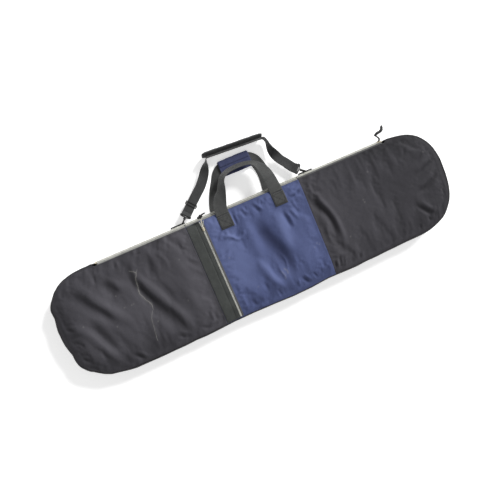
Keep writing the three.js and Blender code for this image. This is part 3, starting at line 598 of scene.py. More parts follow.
# key: (slot, material name, builder, settings); lengths in the settings are millimetres
PALETTE = {
    "black": ("black_fabric", "black_woven", woven, dict(
        base=(0.040, 0.0385, 0.0455), dark=(0.0100, 0.0096, 0.0118),
        light=(0.078, 0.075, 0.087), tint=(0.9, 0.88, 1.0), wear=(0.030, 0.029, 0.031),
        wear_amount=0.75, painted=True)),
    "navy": ("navy_fabric", "navy_woven", woven, dict(
        base=(0.056, 0.073, 0.176), dark=(0.016, 0.021, 0.060), light=(0.122, 0.151, 0.305),
        tint=BLUE, wear=(0.05, 0.06, 0.13), painted=True)),
    "wrap": ("navy_fabric", "navy_wrap_woven", woven, dict(
        base=(0.036, 0.043, 0.102), dark=(0.014, 0.017, 0.045), light=(0.080, 0.092, 0.180),
        thread=0.5, tint=BLUE, wear=(0.10, 0.11, 0.18), sheen=0.14)),
    "gusset": ("black_fabric", "gusset_woven", woven, dict(
        base=(0.058, 0.055, 0.058), dark=(0.026, 0.025, 0.027), light=(0.088, 0.084, 0.084),
        wear=(0.10, 0.085, 0.075), wear_amount=0.7)),
    "back": ("black_fabric", "back_woven", woven, dict(
        base=(0.048, 0.047, 0.052), dark=(0.022, 0.022, 0.025), light=(0.082, 0.080, 0.084),
        thread=0.7, wear=(0.095, 0.085, 0.076))),
    "lining": ("lining_grey", "lining_woven", woven, dict(
        base=(0.085, 0.087, 0.095), dark=(0.045, 0.046, 0.052), light=(0.125, 0.127, 0.136),
        thread=0.35, rough=0.7)),
    "tape": ("zip_tape", "zip_tape_woven", webbing, dict(
        base=(0.070, 0.070, 0.072), dark=(0.028, 0.028, 0.030), light=(0.135, 0.135, 0.132),
        across=0.9, bump=0.4)),
    "tape_pale": ("zip_tape", "zip_tape_pale", webbing, dict(
        base=(0.24, 0.24, 0.225), dark=(0.11, 0.11, 0.105), light=(0.42, 0.42, 0.39),
        across=0.9, bump=0.4)),
    "webbing": ("webbing_dark", "webbing_ribbed", webbing, dict(
        base=(0.045, 0.0465, 0.0455), dark=(0.016, 0.0165, 0.0165),
        light=(0.088, 0.090, 0.088))),
    "band": ("webbing_dark", "band_ribbed", webbing, dict(
        base=(0.041, 0.045, 0.0425), dark=(0.013, 0.0145, 0.014), light=(0.072, 0.078, 0.073),
        across=1.6)),
    "strap": ("webbing_dark", "strap_ribbed", webbing, dict(
        base=(0.034, 0.035, 0.036), dark=(0.012, 0.012, 0.013), light=(0.070, 0.072, 0.072))),
    "pad": ("black_fabric", "pad_woven", woven, dict(
        base=(0.038, 0.039, 0.042), dark=(0.014, 0.014, 0.016), light=(0.088, 0.089, 0.093),
        thread=0.9, bump=0.6, wear=(0.09, 0.09, 0.09), wear_amount=0.4)),
    "piping": ("piping_black", "piping_covered", cord, dict(
        base=(0.022, 0.022, 0.023), light=(0.050, 0.049, 0.049), pitch=3.0, rough=0.55)),
    "cord": ("cord_black", "cord_braided", cord, dict(
        base=(0.005, 0.005, 0.0056), light=(0.018, 0.018, 0.019))),
    "cream_cord": ("zip_cream", "cream_braided", cord, dict(
        base=(0.52, 0.49, 0.40), light=(0.74, 0.71, 0.60))),
    "teeth": ("zip_cream", "zip_teeth_moulded", moulded, dict(
        base=(0.60, 0.60, 0.55), dark=(0.30, 0.30, 0.28), rough=0.45, grime=0.75,
        scale=60.0)),
    "slider": ("slider_cream", "slider_moulded", moulded, dict(
        base=(0.62, 0.56, 0.42), dark=(0.34, 0.30, 0.22), rough=0.35, grime=0.6,
        scale=140.0)),
    "metal": ("hardware_black", "hardware_coated", moulded, dict(
        base=(0.008, 0.008, 0.0085), dark=(0.024, 0.023, 0.022), rough=0.5, grime=0.5,
        coat=0.12, spec=0.35)),
    "plastic": ("hardware_black", "slide_moulded", moulded, dict(
        base=(0.009, 0.009, 0.0095), dark=(0.024, 0.023, 0.023), rough=0.5, grime=0.5,
        spec=0.35)),
    "thread": ("cord_black", "thread_dark", cord, dict(
        base=(0.012, 0.012, 0.014), light=(0.040, 0.040, 0.045), pitch=0.6)),
    # a spare thread that no piece uses
    "thread_grey": ("cord_black", "thread_grey", cord, dict(
        base=(0.075, 0.080, 0.076), light=(0.13, 0.135, 0.13), pitch=0.6)),
    "thread_navy": ("navy_fabric", "thread_navy", cord, dict(
        base=(0.030, 0.038, 0.090), light=(0.075, 0.090, 0.190), pitch=0.6)),
    "lint": ("lining_grey", "lint_pale", cord, dict(
        base=(0.20, 0.195, 0.185), light=(0.33, 0.32, 0.30), pitch=4.0, rough=0.9)),
    "foam": ("foam_grey", "foam_closed_cell", foam, dict(
        base=(0.27, 0.27, 0.29), dark=(0.16, 0.16, 0.175))),
}
MATERIALS = {key: (slot, make_material(name, build, **settings))
             for key, (slot, name, build, settings) in PALETTE.items()}

# ---------------------------------------------------------------- sag of the outline
# How far the soft edge stands off its pattern, outwards: by angle in degrees round each end
# (-Y side first), and by x along the -Y side.
END_DEG = np.arange(-88, 89, 4.0)
NOSE_OFF = np.array([
    -7.4, -8.4, -9.5, -10.9, -12.3, -13.5, -14.1, -14.4, -15, -16.4, -17.8, -18.7, -18.9,
    -18.6, -18.4, -18.4, -18.1, -17.7, -17, -16, -15, -13.4, -11.5, -9.4, -7.4, -6.4, -5.7,
    -4.5, -3.2, -2.3, -1.7, -1, -0.2, 0.7, 1.6, 1.8, 1.7, 1.6, 1.1, 0, -1.1, -1.5, -1.5,
    -1.2, 0])
TAIL_OFF = np.array([
    3.5, 1, -1, -2.2, -2.4, -1.2, -2.5, -3.3, -5.1, -5.6, -6.1, -3.6, -3.1, -2.7, -1.8, -3.1,
    -5.4, -8.4, -11.9, -10.9, -8.9, -6.5, -5.1, -4, -4.9, -5.6, -4.8, 0.4, 6.1, 7.3, 7.5, 6.7,
    6.9, 8.3, 7.7, 8.3, 7.9, 7.2, 5.5, 4.8, 3.6, 2, 0.9, -0.8, 0])
LOW_X = np.arange(-560, 561, 40.0)
LOW_OFF = np.array([
    3.5, 4.4, 4.6, 4, 4.2, 2, 3.3, 2, -0.1, -2, -1.9, -2.2, -0.9, -0.3, 1.2, 2.8, 2, 1.4,
    -1.4, -4, -3.1, -1.7, -1, -3.8, -3.5, -5.3, -5.9, -7.3, -7.4])


def settle(verts):
    """Move points of the bag's body with the sagging outline."""
    verts = verts.copy()
    x, y = verts[:, 0], verts[:, 1]      # views: they move with verts
    near_edge = smooth(1 - inset(x, y) / 120.0)
    past = np.maximum(np.abs(x) - X_END, 0) / END
    angle = np.degrees(np.arctan2(squared(y / HALF_W, END_POWER / 2),
                                  past ** (END_POWER / 2) + 1e-9))
    off = np.where(x > 0, np.interp(angle, END_DEG, NOSE_OFF),
                   np.interp(angle, END_DEG, TAIL_OFF))
    off = np.where(past > 0, off, np.where(y < 0, np.interp(x, LOW_X, LOW_OFF), 0))
    nx = np.sign(x) * past ** (END_POWER - 1) / END
    ny = squared(y / HALF_W, END_POWER - 1) / HALF_W
    length = np.maximum(np.hypot(nx, ny), 1e-9)
    x += nx / length * off * near_edge
    y += ny / length * off * near_edge
    # the nose seam leans: its -Y end lies nearer the tail
    lean = 12.0 * (1 - np.clip((y + 196) / 386, 0, 1))
    x -= lean * smooth((x - 40) / 170) * smooth((600 - x) / 330)
    return verts


# ---------------------------------------------------------------- meshes
# sections between two bodies: the bodies, and where a bend would start and end (m); only the
# names are read here, and these pieces are baked in place on no body
BLENDS = {"tail": ("bag", "mouth", (-0.60, 0, 0), (-0.232, 0, 0)),
          "nose": ("bag", "mouth", (0.61, 0, 0), (0.232, 0, 0))}


def piece(name, shape, material, on, replaces=None, sharp=None, **attrs):
    """Object from a shape: verts, faces, uv and perhaps the edge attribute.

    on names a section of BLENDS or the body it rides on; sharp is the angle in degrees
    above which edges are sharp.
    """
    verts, faces, uv, *edge = shape
    if edge:
        attrs["edge"] = edge[0]
    mesh = bpy.data.meshes.new(name)
    verts = np.asarray(verts, float)
    if on in ("bag", "mouth", *BLENDS):
        verts = settle(verts)
    mesh.from_pydata((verts * MM).tolist(), [], faces)
    mesh.validate(clean_customdata=False)
    layer = mesh.uv_layers.new(name="UVMap")
    loops = np.zeros(len(mesh.loops), int)
    mesh.loops.foreach_get("vertex_index", loops)
    uv = (np.asarray(uv, float) * MM)[loops].astype(np.float32)
    layer.data.foreach_set("uv", uv.ravel())
    for key, values in attrs.items():
        values = np.full(len(verts), values, np.float32)
        mesh.attributes.new(key, "FLOAT", "POINT").data.foreach_set("value", values)
    mesh.polygons.foreach_set("use_smooth", [True] * len(mesh.polygons))
    slot, made = MATERIALS[material]
    mesh.materials.append(made)
    mesh.update()
    obj = bpy.data.objects.new(name, mesh)
    bpy.context.scene.collection.objects.link(obj)
    if sharp is not None:
        mesh.set_sharp_from_angle(angle=math.radians(sharp))
    if on in BLENDS:
        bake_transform(obj)
    else:
        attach(obj, on)
    if replaces:
        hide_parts(replaces)


class Bag:
    """Collects many small closed shells into one piece."""

    def __init__(self):
        self.verts, self.faces, self.uvs, self.edges = [], [], [], []
        self.count = 0

    def add(self, verts, faces, uv=None, edge=None):
        size = len(verts)
        self.verts.append(verts)
        self.faces.extend([[i + self.count for i in face] for face in faces])
        self.uvs.append(np.zeros((size, 2)) if uv is None else uv)
        self.edges.append(np.zeros(size) if edge is None else edge)
        self.count += size

    def make(self, name, material, on, replaces=None, sharp=None):
        shape = (np.vstack(self.verts), self.faces, np.vstack(self.uvs),
                 np.concatenate(self.edges))
        piece(name, shape, material, on, replaces, sharp)


def border(nu, nv):
    """Grid indices once round the edge of a grid."""
    return ([(i, 0) for i in range(nu)] + [(nu - 1, j) for j in range(1, nv)]
            + [(i, nv - 1) for i in range(nu - 2, -1, -1)]
            + [(0, j) for j in range(nv - 2, 0, -1)])


def sheet(x, y, top, thick, bottom=None):
    """Closed cloth sheet over a grid with a rounded edge: top face, bottom face, rim."""
    nu, nv = x.shape
    low = top - thick if bottom is None else bottom
    upper = np.stack([x, y, top], -1).reshape(-1, 3)
    lower = np.stack([x, y, low], -1).reshape(-1, 3)
    loop = np.array([i * nv + j for i, j in border(nu, nv)])
    outline = upper[loop, :2]
    run = np.roll(outline, -1, 0) - np.roll(outline, 1, 0)
    out = np.stack([run[:, 1], -run[:, 0]], 1)
    out /= np.maximum(np.linalg.norm(out, axis=1), 1e-9)[:, None]
    rim = (upper[loop] + lower[loop]) / 2
    rim[:, :2] += out * np.minimum(thick / 2, 0.8)
    n = nu * nv
    i, j = np.meshgrid(np.arange(nu - 1), np.arange(nv - 1), indexing="ij")
    a = (i * nv + j).ravel()
    b, c, d = a + nv, a + nv + 1, a + 1
    faces = np.concatenate([np.stack([a, b, c, d], 1),
                            np.stack([a + n, d + n, c + n, b + n], 1)]).tolist()
    for k in range(len(loop)):
        q = (k + 1) % len(loop)
        here, following = int(loop[k]), int(loop[q])
        faces.append([here, 2 * n + k, 2 * n + q, following])
        faces.append([2 * n + k, here + n, following + n, 2 * n + q])
    verts = np.vstack([upper, lower, rim])
    return verts, faces, verts[:, :2].copy()


def outline_columns(x_in, sign, step, inward=0.0):
    """x of columns from the straight part out to the rounded tip, evenly along the outline."""
    angle = np.linspace(0, math.pi / 2, 4000)
    x = X_END + (END - inward) * np.sin(angle) ** (2 / END_POWER)
    y = (HALF_W - inward) * np.cos(angle) ** (2 / END_POWER)
    keep = y > 2.5                       # stop short of the very tip
    x = x[keep]
    s = arc(np.column_stack([x, y[keep]]))
    ends = np.interp(np.linspace(0, s[-1], int(s[-1] / step)), s, x)
    flat = np.linspace(abs(x_in), X_END, max(int((X_END - abs(x_in)) / step), 2))
    return np.sort(sign * np.concatenate([flat, ends[1:]]))


def grid(columns, y_top, y_low, step):
    """Rows evenly spread between the edges, a little closer near them."""
    rows = int((y_top.max() + y_low.max()) / step)
    t = np.linspace(-1, 1, rows)
    t = t * 0.82 + 0.18 * np.sin(t * math.pi / 2)
    x = np.repeat(columns[:, None], rows, 1)
    return x, np.where(t[None] > 0, t[None] * y_top[:, None], t[None] * y_low[:, None])


def edge_attr(uv, reach=16.0):
    return np.clip(1 - inset(uv[:, 0], uv[:, 1]) / reach, 0, 1)


def loft(rings, closed=False):
    """Equal closed rings of points into a tube; flat fans close its ends."""
    rings = np.asarray(rings, float)
    count, around = rings.shape[:2]
    verts = rings.reshape(-1, 3)
    quads, fans = [], []
    for i in range(count if closed else count - 1):
        a, b = i * around, ((i + 1) % count) * around
        for j in range(around):
            k = (j + 1) % around
            quads.append([a + j, a + k, b + k, b + j])
    if not closed:
        verts = np.vstack([verts, rings[0].mean(0), rings[-1].mean(0)])
        last, hub = (count - 1) * around, count * around
        for j in range(around):
            k = (j + 1) % around
            fans.append([hub, k, j])
            fans.append([hub + 1, last + j, last + k])
    # outward by signed volume
    triangles = np.array([q[:3] for q in quads] + [[q[0], q[2], q[3]] for q in quads] + fans)
    a, b, c = (verts[triangles[:, k]] for k in range(3))
    faces = quads + fans
    if np.einsum("ij,ij->i", a, np.cross(b, c)).sum() < 0:
        faces = [face[::-1] for face in faces]
    return verts, faces


def frames(path, closed=False, up=(0, 0, 1)):
    """A carried-along pair of normals for a path."""
    if closed:
        along = np.roll(path, -1, 0) - np.roll(path, 1, 0)
    else:
        along = np.gradient(path, axis=0)
    along /= np.maximum(np.linalg.norm(along, axis=1), 1e-9)[:, None]
    up = np.array(up, float)
    if abs(up @ along[0]) > 0.95:
        up = np.array([1.0, 0, 0])
    normals = np.zeros_like(path)
    carried = unit(up - (up @ along[0]) * along[0])
    for i in range(len(path)):
        carried = carried - (carried @ along[i]) * along[i]
        carried /= max(np.linalg.norm(carried), 1e-9)
        normals[i] = carried
    if closed:      # spread the leftover twist over the loop
        end = unit(normals[-1] - (normals[-1] @ along[0]) * along[0])
        twist = math.atan2(np.dot(np.cross(end, normals[0]), along[0]), end @ normals[0])
        for i in range(len(path)):
            t = twist * i / len(path)
            side = np.cross(along[i], normals[i])
            normals[i] = normals[i] * math.cos(t) + side * math.sin(t)
    return along, normals, np.cross(along, normals)


def tube(points, radius, sides=12, step=None, closed=False, flatten=1.0, up=(0, 0, 1)):
    """Round bar: along a smooth curve if step is given, else straight from point to point.

    radius may be a list spread evenly along it. u goes once round, v is the length.
    """
    path = np.asarray(points, float)
    if step:
        path = catmull(path, step)
    radius = np.atleast_1d(radius)
    size = np.interp(np.linspace(0, 1, len(path)), np.linspace(0, 1, len(radius)), radius)
    along, first, second = frames(path, closed, up)
    if not closed:      # rounded ends
        shrink = np.array([0.0, 0.35, 0.7, 0.92])
        reach = 0.8 * np.sqrt(1 - shrink ** 2)[:, None]
        shrink = np.maximum(shrink, 0.08)
        path = np.vstack([path[0] - along[0] * size[0] * reach, path,
                          path[-1] + along[-1] * size[-1] * reach[::-1]])
        size = np.concatenate([shrink * size[0], size, shrink[::-1] * size[-1]])
        first, second = (np.pad(a, ((4, 4), (0, 0)), mode="edge") for a in (first, second))
    w = turn(sides)[None, :, None]
    spokes = np.cos(w) * first[:, None] + flatten * np.sin(w) * second[:, None]
    verts, faces = loft(path[:, None] + size[:, None, None] * spokes, closed)
    s = arc(path)
    uv = np.stack([np.tile(np.arange(sides) / sides * 1000, len(path)),
                   np.repeat(s, sides)], 1)
    if not closed:
        uv = np.vstack([uv, [[0, 0], [0, s[-1]]]])
    return verts, faces, uv


def rounded_path(corners, radius, count):
    """Closed polygon with rounded corners of count points, its straights filled in."""
    out = []
    for i, b in enumerate(corners):
        a, c = corners[i - 1], corners[(i + 1) % len(corners)]
        r = min(radius, np.linalg.norm(a - b) * 0.45, np.linalg.norm(c - b) * 0.45)
        p, q = b + unit(a - b) * r, b + unit(c - b) * r
        for t in np.linspace(0, 1, count):
            out.append((1 - t) ** 2 * p + 2 * t * (1 - t) * b + t * t * q)
    fine = []
    for a, b in zip(out, out[1:] + out[:1]):
        steps = max(int(np.linalg.norm(b - a) / 4.0), 1)
        fine.extend([a + (b - a) * j / steps for j in range(steps)])
    return np.array(fine)


def ribbon(rows, width, thick=WEB_T, step=3.0, count=9, cup=0.0, ripple=0.0, seed=0):
    """Webbing with soft edges along rows of centre x, y, z and width direction x, y, z."""
    rows = catmull(rows, step)
    path, wide = rows[:, :3], rows[:, 3:6].copy()
    along = np.gradient(path, axis=0)
    along /= np.linalg.norm(along, axis=1)[:, None]
    wide -= np.einsum("ij,ij->i", wide, along)[:, None] * along
    wide /= np.linalg.norm(wide, axis=1)[:, None]
    normal = np.cross(along, wide)
    s = arc(path)
    q = np.linspace(-1, 1, count)
    half, round_r = width / 2 - thick / 2, thick / 2
    corner = np.radians([60, 20, -20, -60])
    side = half + round_r * np.cos(corner)
    rise = round_r * np.sin(corner)
    across = np.concatenate([q * half, side, q[::-1] * half, -side])
    rings = []
    for i in range(len(path)):
        bend = cup * (q ** 2 - 0.4) + ripple * vnoise(s[i], q * 30, scale=26, seed=seed)
        lift = np.concatenate([round_r + bend, rise + bend[-1],
                               bend[::-1] - round_r, bend[0] - rise])
        rings.append(path[i] + np.outer(across, wide[i]) + np.outer(lift, normal[i]))
    verts, faces = loft(rings)
    u = np.concatenate([q * half, [half + round_r] * 4, q[::-1] * half, [-half - round_r] * 4])
    selvedge = np.tile(np.concatenate([np.abs(q) ** 10, [1] * 4]), 2)
    uv = np.vstack([np.stack([np.tile(u, len(path)), np.repeat(s, len(u))], 1),
                    [[0, 0], [0, s[-1]]]])
    return verts, faces, uv, np.concatenate([np.tile(selvedge, len(path)), [0, 0]])


# ---------------------------------------------------------------- stitches
TOPSTITCH = dict(length=3.2, gap=1.4)
HEAVY_STITCH = dict(length=3.2, gap=0.6, width=1.9, height=0.9)
JOIN_STITCH = dict(length=3.2, gap=0.5, width=1.7, height=0.9)
BACK_STITCH = dict(length=2.6, gap=1.1, width=0.8, height=0.5)
SMALL_STITCH = dict(length=2.4, gap=1.0, width=0.7, height=0.7)
BAND_STITCH = dict(length=3.0, gap=1.4, width=0.8, height=0.8)


def dash(centre, along, normal, length, width, height):
    """One raised stitch: a short rounded bar lying on a surface."""
    along = unit(along)
    normal = unit(normal - (normal @ along) * along)
    side = np.cross(normal, along)
    rings = []
    for q, k in ((-0.5, 0.35), (-0.32, 0.9), (0.0, 1.0), (0.32, 0.9), (0.5, 0.35)):
        middle = centre + along * length * q + normal * height * (0.5 * k - 0.2)
        rings.append([middle + side * width / 2 * k * math.cos(w)
                      + normal * height / 2 * k * math.sin(w) for w in turn(6)])
    return loft(rings)


def stitch_line(bag, path, normals, length=3.0, gap=1.3, width=0.75, height=0.7):
    """Even stitches along a polyline with one surface normal, or one at each point."""
    path = np.asarray(path, float)
    normals = np.broadcast_to(np.asarray(normals, float), path.shape)
    s = arc(path)
    at = np.arange(length / 2, s[-1] - length / 2, length + gap)
    runs = sample(path, s, at + 0.5) - sample(path, s, at - 0.5)
    for centre, run, normal in zip(sample(path, s, at), runs, sample(normals, s, at)):
        bag.add(*dash(centre, run, normal, length, width, height))


def surface_normal(height_at, x, y, h=1.5):
    slope_x = (height_at(x + h, y) - height_at(x - h, y)) / (2 * h)
    slope_y = (height_at(x, y + h) - height_at(x, y - h)) / (2 * h)
    n = np.stack([-slope_x, -slope_y, np.ones_like(slope_x)], -1)
    return n / np.linalg.norm(n, axis=-1)[..., None]


def surface_stitches(bag, height_at, points, lift=0.15, **stitch):
    """Stitches laid over a height field along (x, y) points."""
    x, y = resample(points, 4.0).T
    path = np.stack([x, y, height_at(x, y) + lift], 1)
    stitch_line(bag, path, surface_normal(height_at, x, y), **stitch)


def box_lines(left, right, low, high, cross_in):
    """A sewn box with a cross in it, the cross held in from its corners."""
    a, b, c, d = left + cross_in, right - cross_in, low + cross_in, high - cross_in
    return [[(left, low), (right, low)], [(right, low), (right, high)],
            [(right, high), (left, high)], [(left, high), (left, low)],
            [(a, c), (b, d)], [(b, c), (a, d)]]


# ---------------------------------------------------------------- cloth simulation
CLOTH = dict(quality=6, mass=0.25, tension_stiffness=12, compression_stiffness=12,
             shear_stiffness=6, bending_stiffness=0.6, vertex_group_mass="hold",
             shrink_min=-0.022, use_pressure=True, uniform_pressure_force=1.2)
CLOTH_FRAMES = 24
CLOTH_X, CLOTH_Y, CLOTH_GRID = 780, 190, 10.0      # half sizes and spacing of the grid
BUCKLE_LIMIT, BUCKLE_GAIN = 2.6, 0.8


def simulate_front():
    """The whole front as one gathered sheet held at its seams: a grid of its buckles."""
    nx, ny = int(2 * CLOTH_X / CLOTH_GRID) + 1, int(2 * CLOTH_Y / CLOTH_GRID) + 1
    xs, ys = np.linspace(-CLOTH_X, CLOTH_X, nx), np.linspace(-CLOTH_Y, CLOTH_Y, ny)
    x, y = np.meshgrid(xs, ys, indexing="ij")
    z = cad_front(x, y)
    e = inset(x, y)
    inside = e > 6
    ids = -np.ones(x.shape, int)
    ids[inside] = np.arange(inside.sum())
    rng = np.random.default_rng(5)
    jitter = (rng.random(inside.sum()) - 0.5) * 1.2
    verts = np.stack([x[inside], y[inside], z[inside] + jitter], 1) * MM
    faces = []
    for i in range(nx - 1):
        for j in range(ny - 1):
            q = [ids[i, j], ids[i + 1, j], ids[i + 1, j + 1], ids[i, j + 1]]
            if min(q) >= 0:
                faces.append([int(k) for k in (q if (i + j) % 2 else q[1:] + q[:1])])
    mesh = bpy.data.meshes.new("cloth_work")
    mesh.from_pydata(verts.tolist(), [], faces)
    obj = bpy.data.objects.new("cloth_work", mesh)
    bpy.context.scene.collection.objects.link(obj)
    used = np.zeros(len(verts), bool)
    used[np.array(faces).ravel()] = True

    # held round the edge, along the cross seams and under the patches
    px, py = x[inside], y[inside]
    hold = e[inside] < 17
    for seam_x in (NOSE_SEAM, TAIL_SEAM, -175):
        hold |= np.abs(px - seam_x) < 5.5
    for start in FRONT_PATCHES.values():
        hold |= (py > 122) & (px > start - 5) & (px < start + WEB_W + 5)
    group = obj.vertex_groups.new(name="hold")
    group.add([int(i) for i in np.nonzero(hold)[0]], 1.0, "REPLACE")
    cloth = obj.modifiers.new("Cloth", "CLOTH")
    for key, value in CLOTH.items():
        setattr(cloth.settings, key, value)
    cloth.settings.effector_weights.gravity = 0.0
    cloth.collision_settings.use_self_collision = False
    cloth.collision_settings.use_collision = False
    scene = bpy.context.scene
    cloth.point_cache.frame_start = 1
    cloth.point_cache.frame_end = CLOTH_FRAMES
    for frame in range(1, CLOTH_FRAMES + 1):
        scene.frame_set(frame)
    evaluated = obj.evaluated_get(bpy.context.evaluated_depsgraph_get())
    result = evaluated.to_mesh()
    co = np.zeros(len(result.vertices) * 3, np.float32)
    result.vertices.foreach_get("co", co)
    co = co.reshape(-1, 3) / MM
    evaluated.to_mesh_clear()
    moved = co[:, 2] - z[inside]
    moved[~used] = 0
    rise = np.zeros(x.shape)
    rise[inside] = np.nan_to_num(moved)

    # take the broad inflation away, keep the buckles, cap them
    kernel = np.array([1, 4, 6, 4, 1.0]) / 16
    broad = rise.copy()
    for _ in range(14):
        for axis in (0, 1):
            broad = np.apply_along_axis(
                lambda r: np.convolve(np.pad(r, 2, mode="edge"), kernel, "valid"), axis, broad)
    detail = (rise - broad) * smooth((e - 12) / 16.0)
    detail = BUCKLE_LIMIT * np.tanh(detail / BUCKLE_LIMIT) * BUCKLE_GAIN
    bpy.data.objects.remove(obj, do_unlink=True)
    bpy.data.meshes.remove(mesh)
    scene.frame_set(1)
    return detail, xs[0], ys[0], xs[1] - xs[0], ys[1] - ys[0]


BUCKLES = simulate_front()

# ---------------------------------------------------------------- tones and marks of the cloth
# x, y along a pale scuff down the pocket, and of small specks
SCUFF = [(-486, 126), (-470, 117), (-461, 108), (-470, 90), (-475, 63), (-479, 34), (-468, 6),
         (-456, -17), (-457, -36), (-473, -60), (-478, -86), (-481, -108), (-487, -145)]
SPECKS = [(-706, 5), (-521, 8), (-513, 9), (-547, 10), (-458, -84), (-597, -42), (191, -71),
          (206, -60), (213, -67), (-129, 22), (-73, -119), (494, 112), (434, 20), (436, 10),
          (734, 98), (335, -89), (-330, -60), (-560, 60), (-300, 90)]
# strength, width, taper, points
MARK_STROKES = [(0.22, 4.0, 0.1, SCUFF[:9]), (0.10, 4.0, 0.2, SCUFF[8:]),
                (0.30, 3.0, 0.3, [(40, -92), (52, -108), (50, -124)]),
                (0.22, 3.0, 0.3, [(26, -96), (37, -120), (33, -140)])]
# strength, width, points: lighter is positive, darker is negative. The first lightens a broad
# band along the tail's ridges; the second is painted shade down the middle section's deep valley
# fold, the third a painted highlight along the ridge beside it.
TONE_STROKES = [(0.30, 70, [(-640, 120), (-560, 0), (-470, -120)]),
                (-0.42, 42, [(8, 120), (24, 60), (40, 0), (56, -60), (62, -130)]),
                (0.30, 30, [(100, 130), (104, 40), (100, -60)])]


def marks(x, y):
    m = sum(strength * stroke_field(x, y, points, width, taper)
            for strength, width, taper, points in MARK_STROKES)
    for speck_x, speck_y in SPECKS:
        m = m + 0.34 * np.exp(-(np.hypot(x - speck_x, y - speck_y) / 2.3) ** 2)
    return np.clip(m, 0, 1)


def tone(x, y):
    """Where the cloth is painted lighter (positive) or darker (negative): painted highlight and
    shade along folds, painted shade towards the ends and corners, and lighter and darker patches.
    """
    t = sum(strength * stroke_field(x, y, points, width)
            for strength, width, points in TONE_STROKES)
    # lighter beside the pocket mouth
    rubbed = smooth((x + 335) / 40) * smooth((-226 - x) / 10)
    t += 0.55 * rubbed * (0.75 + 0.25 * vnoise(x, y, scale=40, seed=31))
    # painted shade: darker towards the nose, the tail tip and two corners
    t -= 0.50 * smooth((x - 260) / 520)
    t -= 0.34 * smooth((-x - 680) / 100)
    t -= 0.30 * smooth((-y - 90) / 90) * smooth((-x - 380) / 80)
    t -= 0.30 * smooth((y - 120) / 60) * smooth((x - 420) / 120)
    # middle section: lighter on the left, darker along the -Y side
    lighter_left = smooth((x + 165) / 20) * smooth((-30 - x) / 60)
    t += 0.45 * lighter_left * smooth((y + 150) / 120) * smooth((x + 240) / 10)
    t -= 0.245 * smooth((-90 - y) / 90) * window(x, -190, 232, 30)
    return np.clip(t, -1, 1)


def cloth_attrs(uv):
    """Edge, tone and mark. The tone is painted light and shade: ridges paler as painted highlight
    and rubbed wear, valleys darker and slopes turned away from the key light darker as painted
    shade.
    """
    x, y = uv[:, 0], uv[:, 1]
    # slope along the key light's direction: slopes turned away from the light get painted shade
    lean = (folds(x + 3, y + 1.7) - folds(x - 3, y - 1.7)) / 6.9
    # painted highlight on ridges, painted shade in valleys and on the slopes turned away from the
    # light
    t = (tone(x, y) + 0.30 * np.clip(folds(x, y) / 7.0, -1, 1)
         - 0.75 * np.clip(lean, -0.45, 0.45))
    return {"edge": edge_attr(uv), "tone": np.clip(t, -1, 1), "mark": marks(x, y)}


# ---------------------------------------------------------------- front sections
def section(part, columns, on, material, step):
    """Cloth, padding and lining of one part of the front."""
    width = half_width(columns)
    x, y = grid(columns, np.minimum(width, top_edge(columns)), np.minimum(width, 200.0), step)
    shape = sheet(x, y, front(x, y), 1.2)
    piece(part + "_front_cloth", shape, material, on, part + "_front_outer",
          **cloth_attrs(shape[2]))
    inner = columns[np.abs(columns) < HALF_L - 9]
    coarse = max(step, 6.0)
    picked = inner[::max(int(round(coarse / step)), 1)]
    picked = np.unique(np.concatenate([[inner[0]], picked, [inner[-1]]]))
    width = half_width(picked, 8.0)
    x, y = grid(picked, np.minimum(width, ZIP_EDGE_Y - 3), width, coarse)
    top = front(x, y) - 2.6
    base = np.maximum(top - 6.0, 56.5)
    piece(part + "_front_padding", sheet(x, y, top, 6.0, base), "foam", on,
          part + "_front_foam")
    lining = base - 0.3 + 0.15 * vnoise(x, y, scale=30, seed=44) - 0.15
    shape = sheet(x, y, lining, 0.6)
    piece(part + "_front_lining_cloth", shape, "lining", on, part + "_front_lining",
          edge=edge_attr(shape[2]))


section("tail", outline_columns(TAIL_SEAM - 0.4, -1, 5.0), "tail", "black", 5.0)
section("centre",
        np.linspace(TAIL_SEAM, NOSE_SEAM, int((NOSE_SEAM - TAIL_SEAM) / CLOTH_STEP)),
        "mouth", "navy", CLOTH_STEP)
section("nose", outline_columns(NOSE_SEAM + 0.4, 1, CLOTH_STEP), "nose", "black", CLOTH_STEP)


# ---------------------------------------------------------------- pocket over the tail
def pocket_panel():
    columns = outline_columns(TAIL_SEAM - 0.6, -1, CLOTH_STEP, 1.5)
    width = half_width(columns, 1.5)
    x, y = grid(columns, np.minimum(width, ZIP_EDGE_Y - 1), np.minimum(width, 198.0),
                CLOTH_STEP)
    shape = sheet(x, y, pocket_top(x, y), 1.1)
    piece("pocket_panel_cloth", shape, "black", "tail", "pocket_panel",
          **cloth_attrs(shape[2]))


def band_top(x, y):
    fold = folds(x, y) * 0.15 * smooth(inset(x, y) / 12)
    return cad_front(x, y) + pocket_lift(x, y) + 1.75 + fold


def pocket_band():
    """Stiff band along the pocket mouth, with two stitched grooves."""
    columns = np.concatenate([np.linspace(-230, -181.5, 34), [-180.6, -180.1]])
    x, y = np.meshgrid(columns, np.linspace(-198, ZIP_EDGE_Y - 1, 150), indexing="ij")
    groove = 1.3 * bell(x, -193.5, 1.8) + 0.35 * bell(x, -226.5, 1.4)
    wave = (0.5 * vnoise(y, x * 0.2, scale=34, seed=51) * smooth((-186 - x) / 10)
            + 0.22 * vnoise(x, y, scale=12, seed=52))
    top = band_top(x, y) + wave * smooth(inset(x, y) / 12) - groove
    shape = sheet(x, y, top, 1.8)
    piece("pocket_mouth_band", shape, "band", "mouth", "pocket_webbing_band",
          edge=bell(shape[2][:, 0], -181, 2.0))


pocket_panel()
pocket_band()


# ---------------------------------------------------------------- back panel
def over_back_patches(x, y, margin, y_start):
    """Height over the handle patches let into the back."""
    z = np.zeros_like(x)
    for start in BACK_PATCHES.values():
        span = window(x, start - margin, start + WEB_W + margin, 5)
        z = np.maximum(z, 2.8 * span * smooth((y - y_start) / 5))
    return z


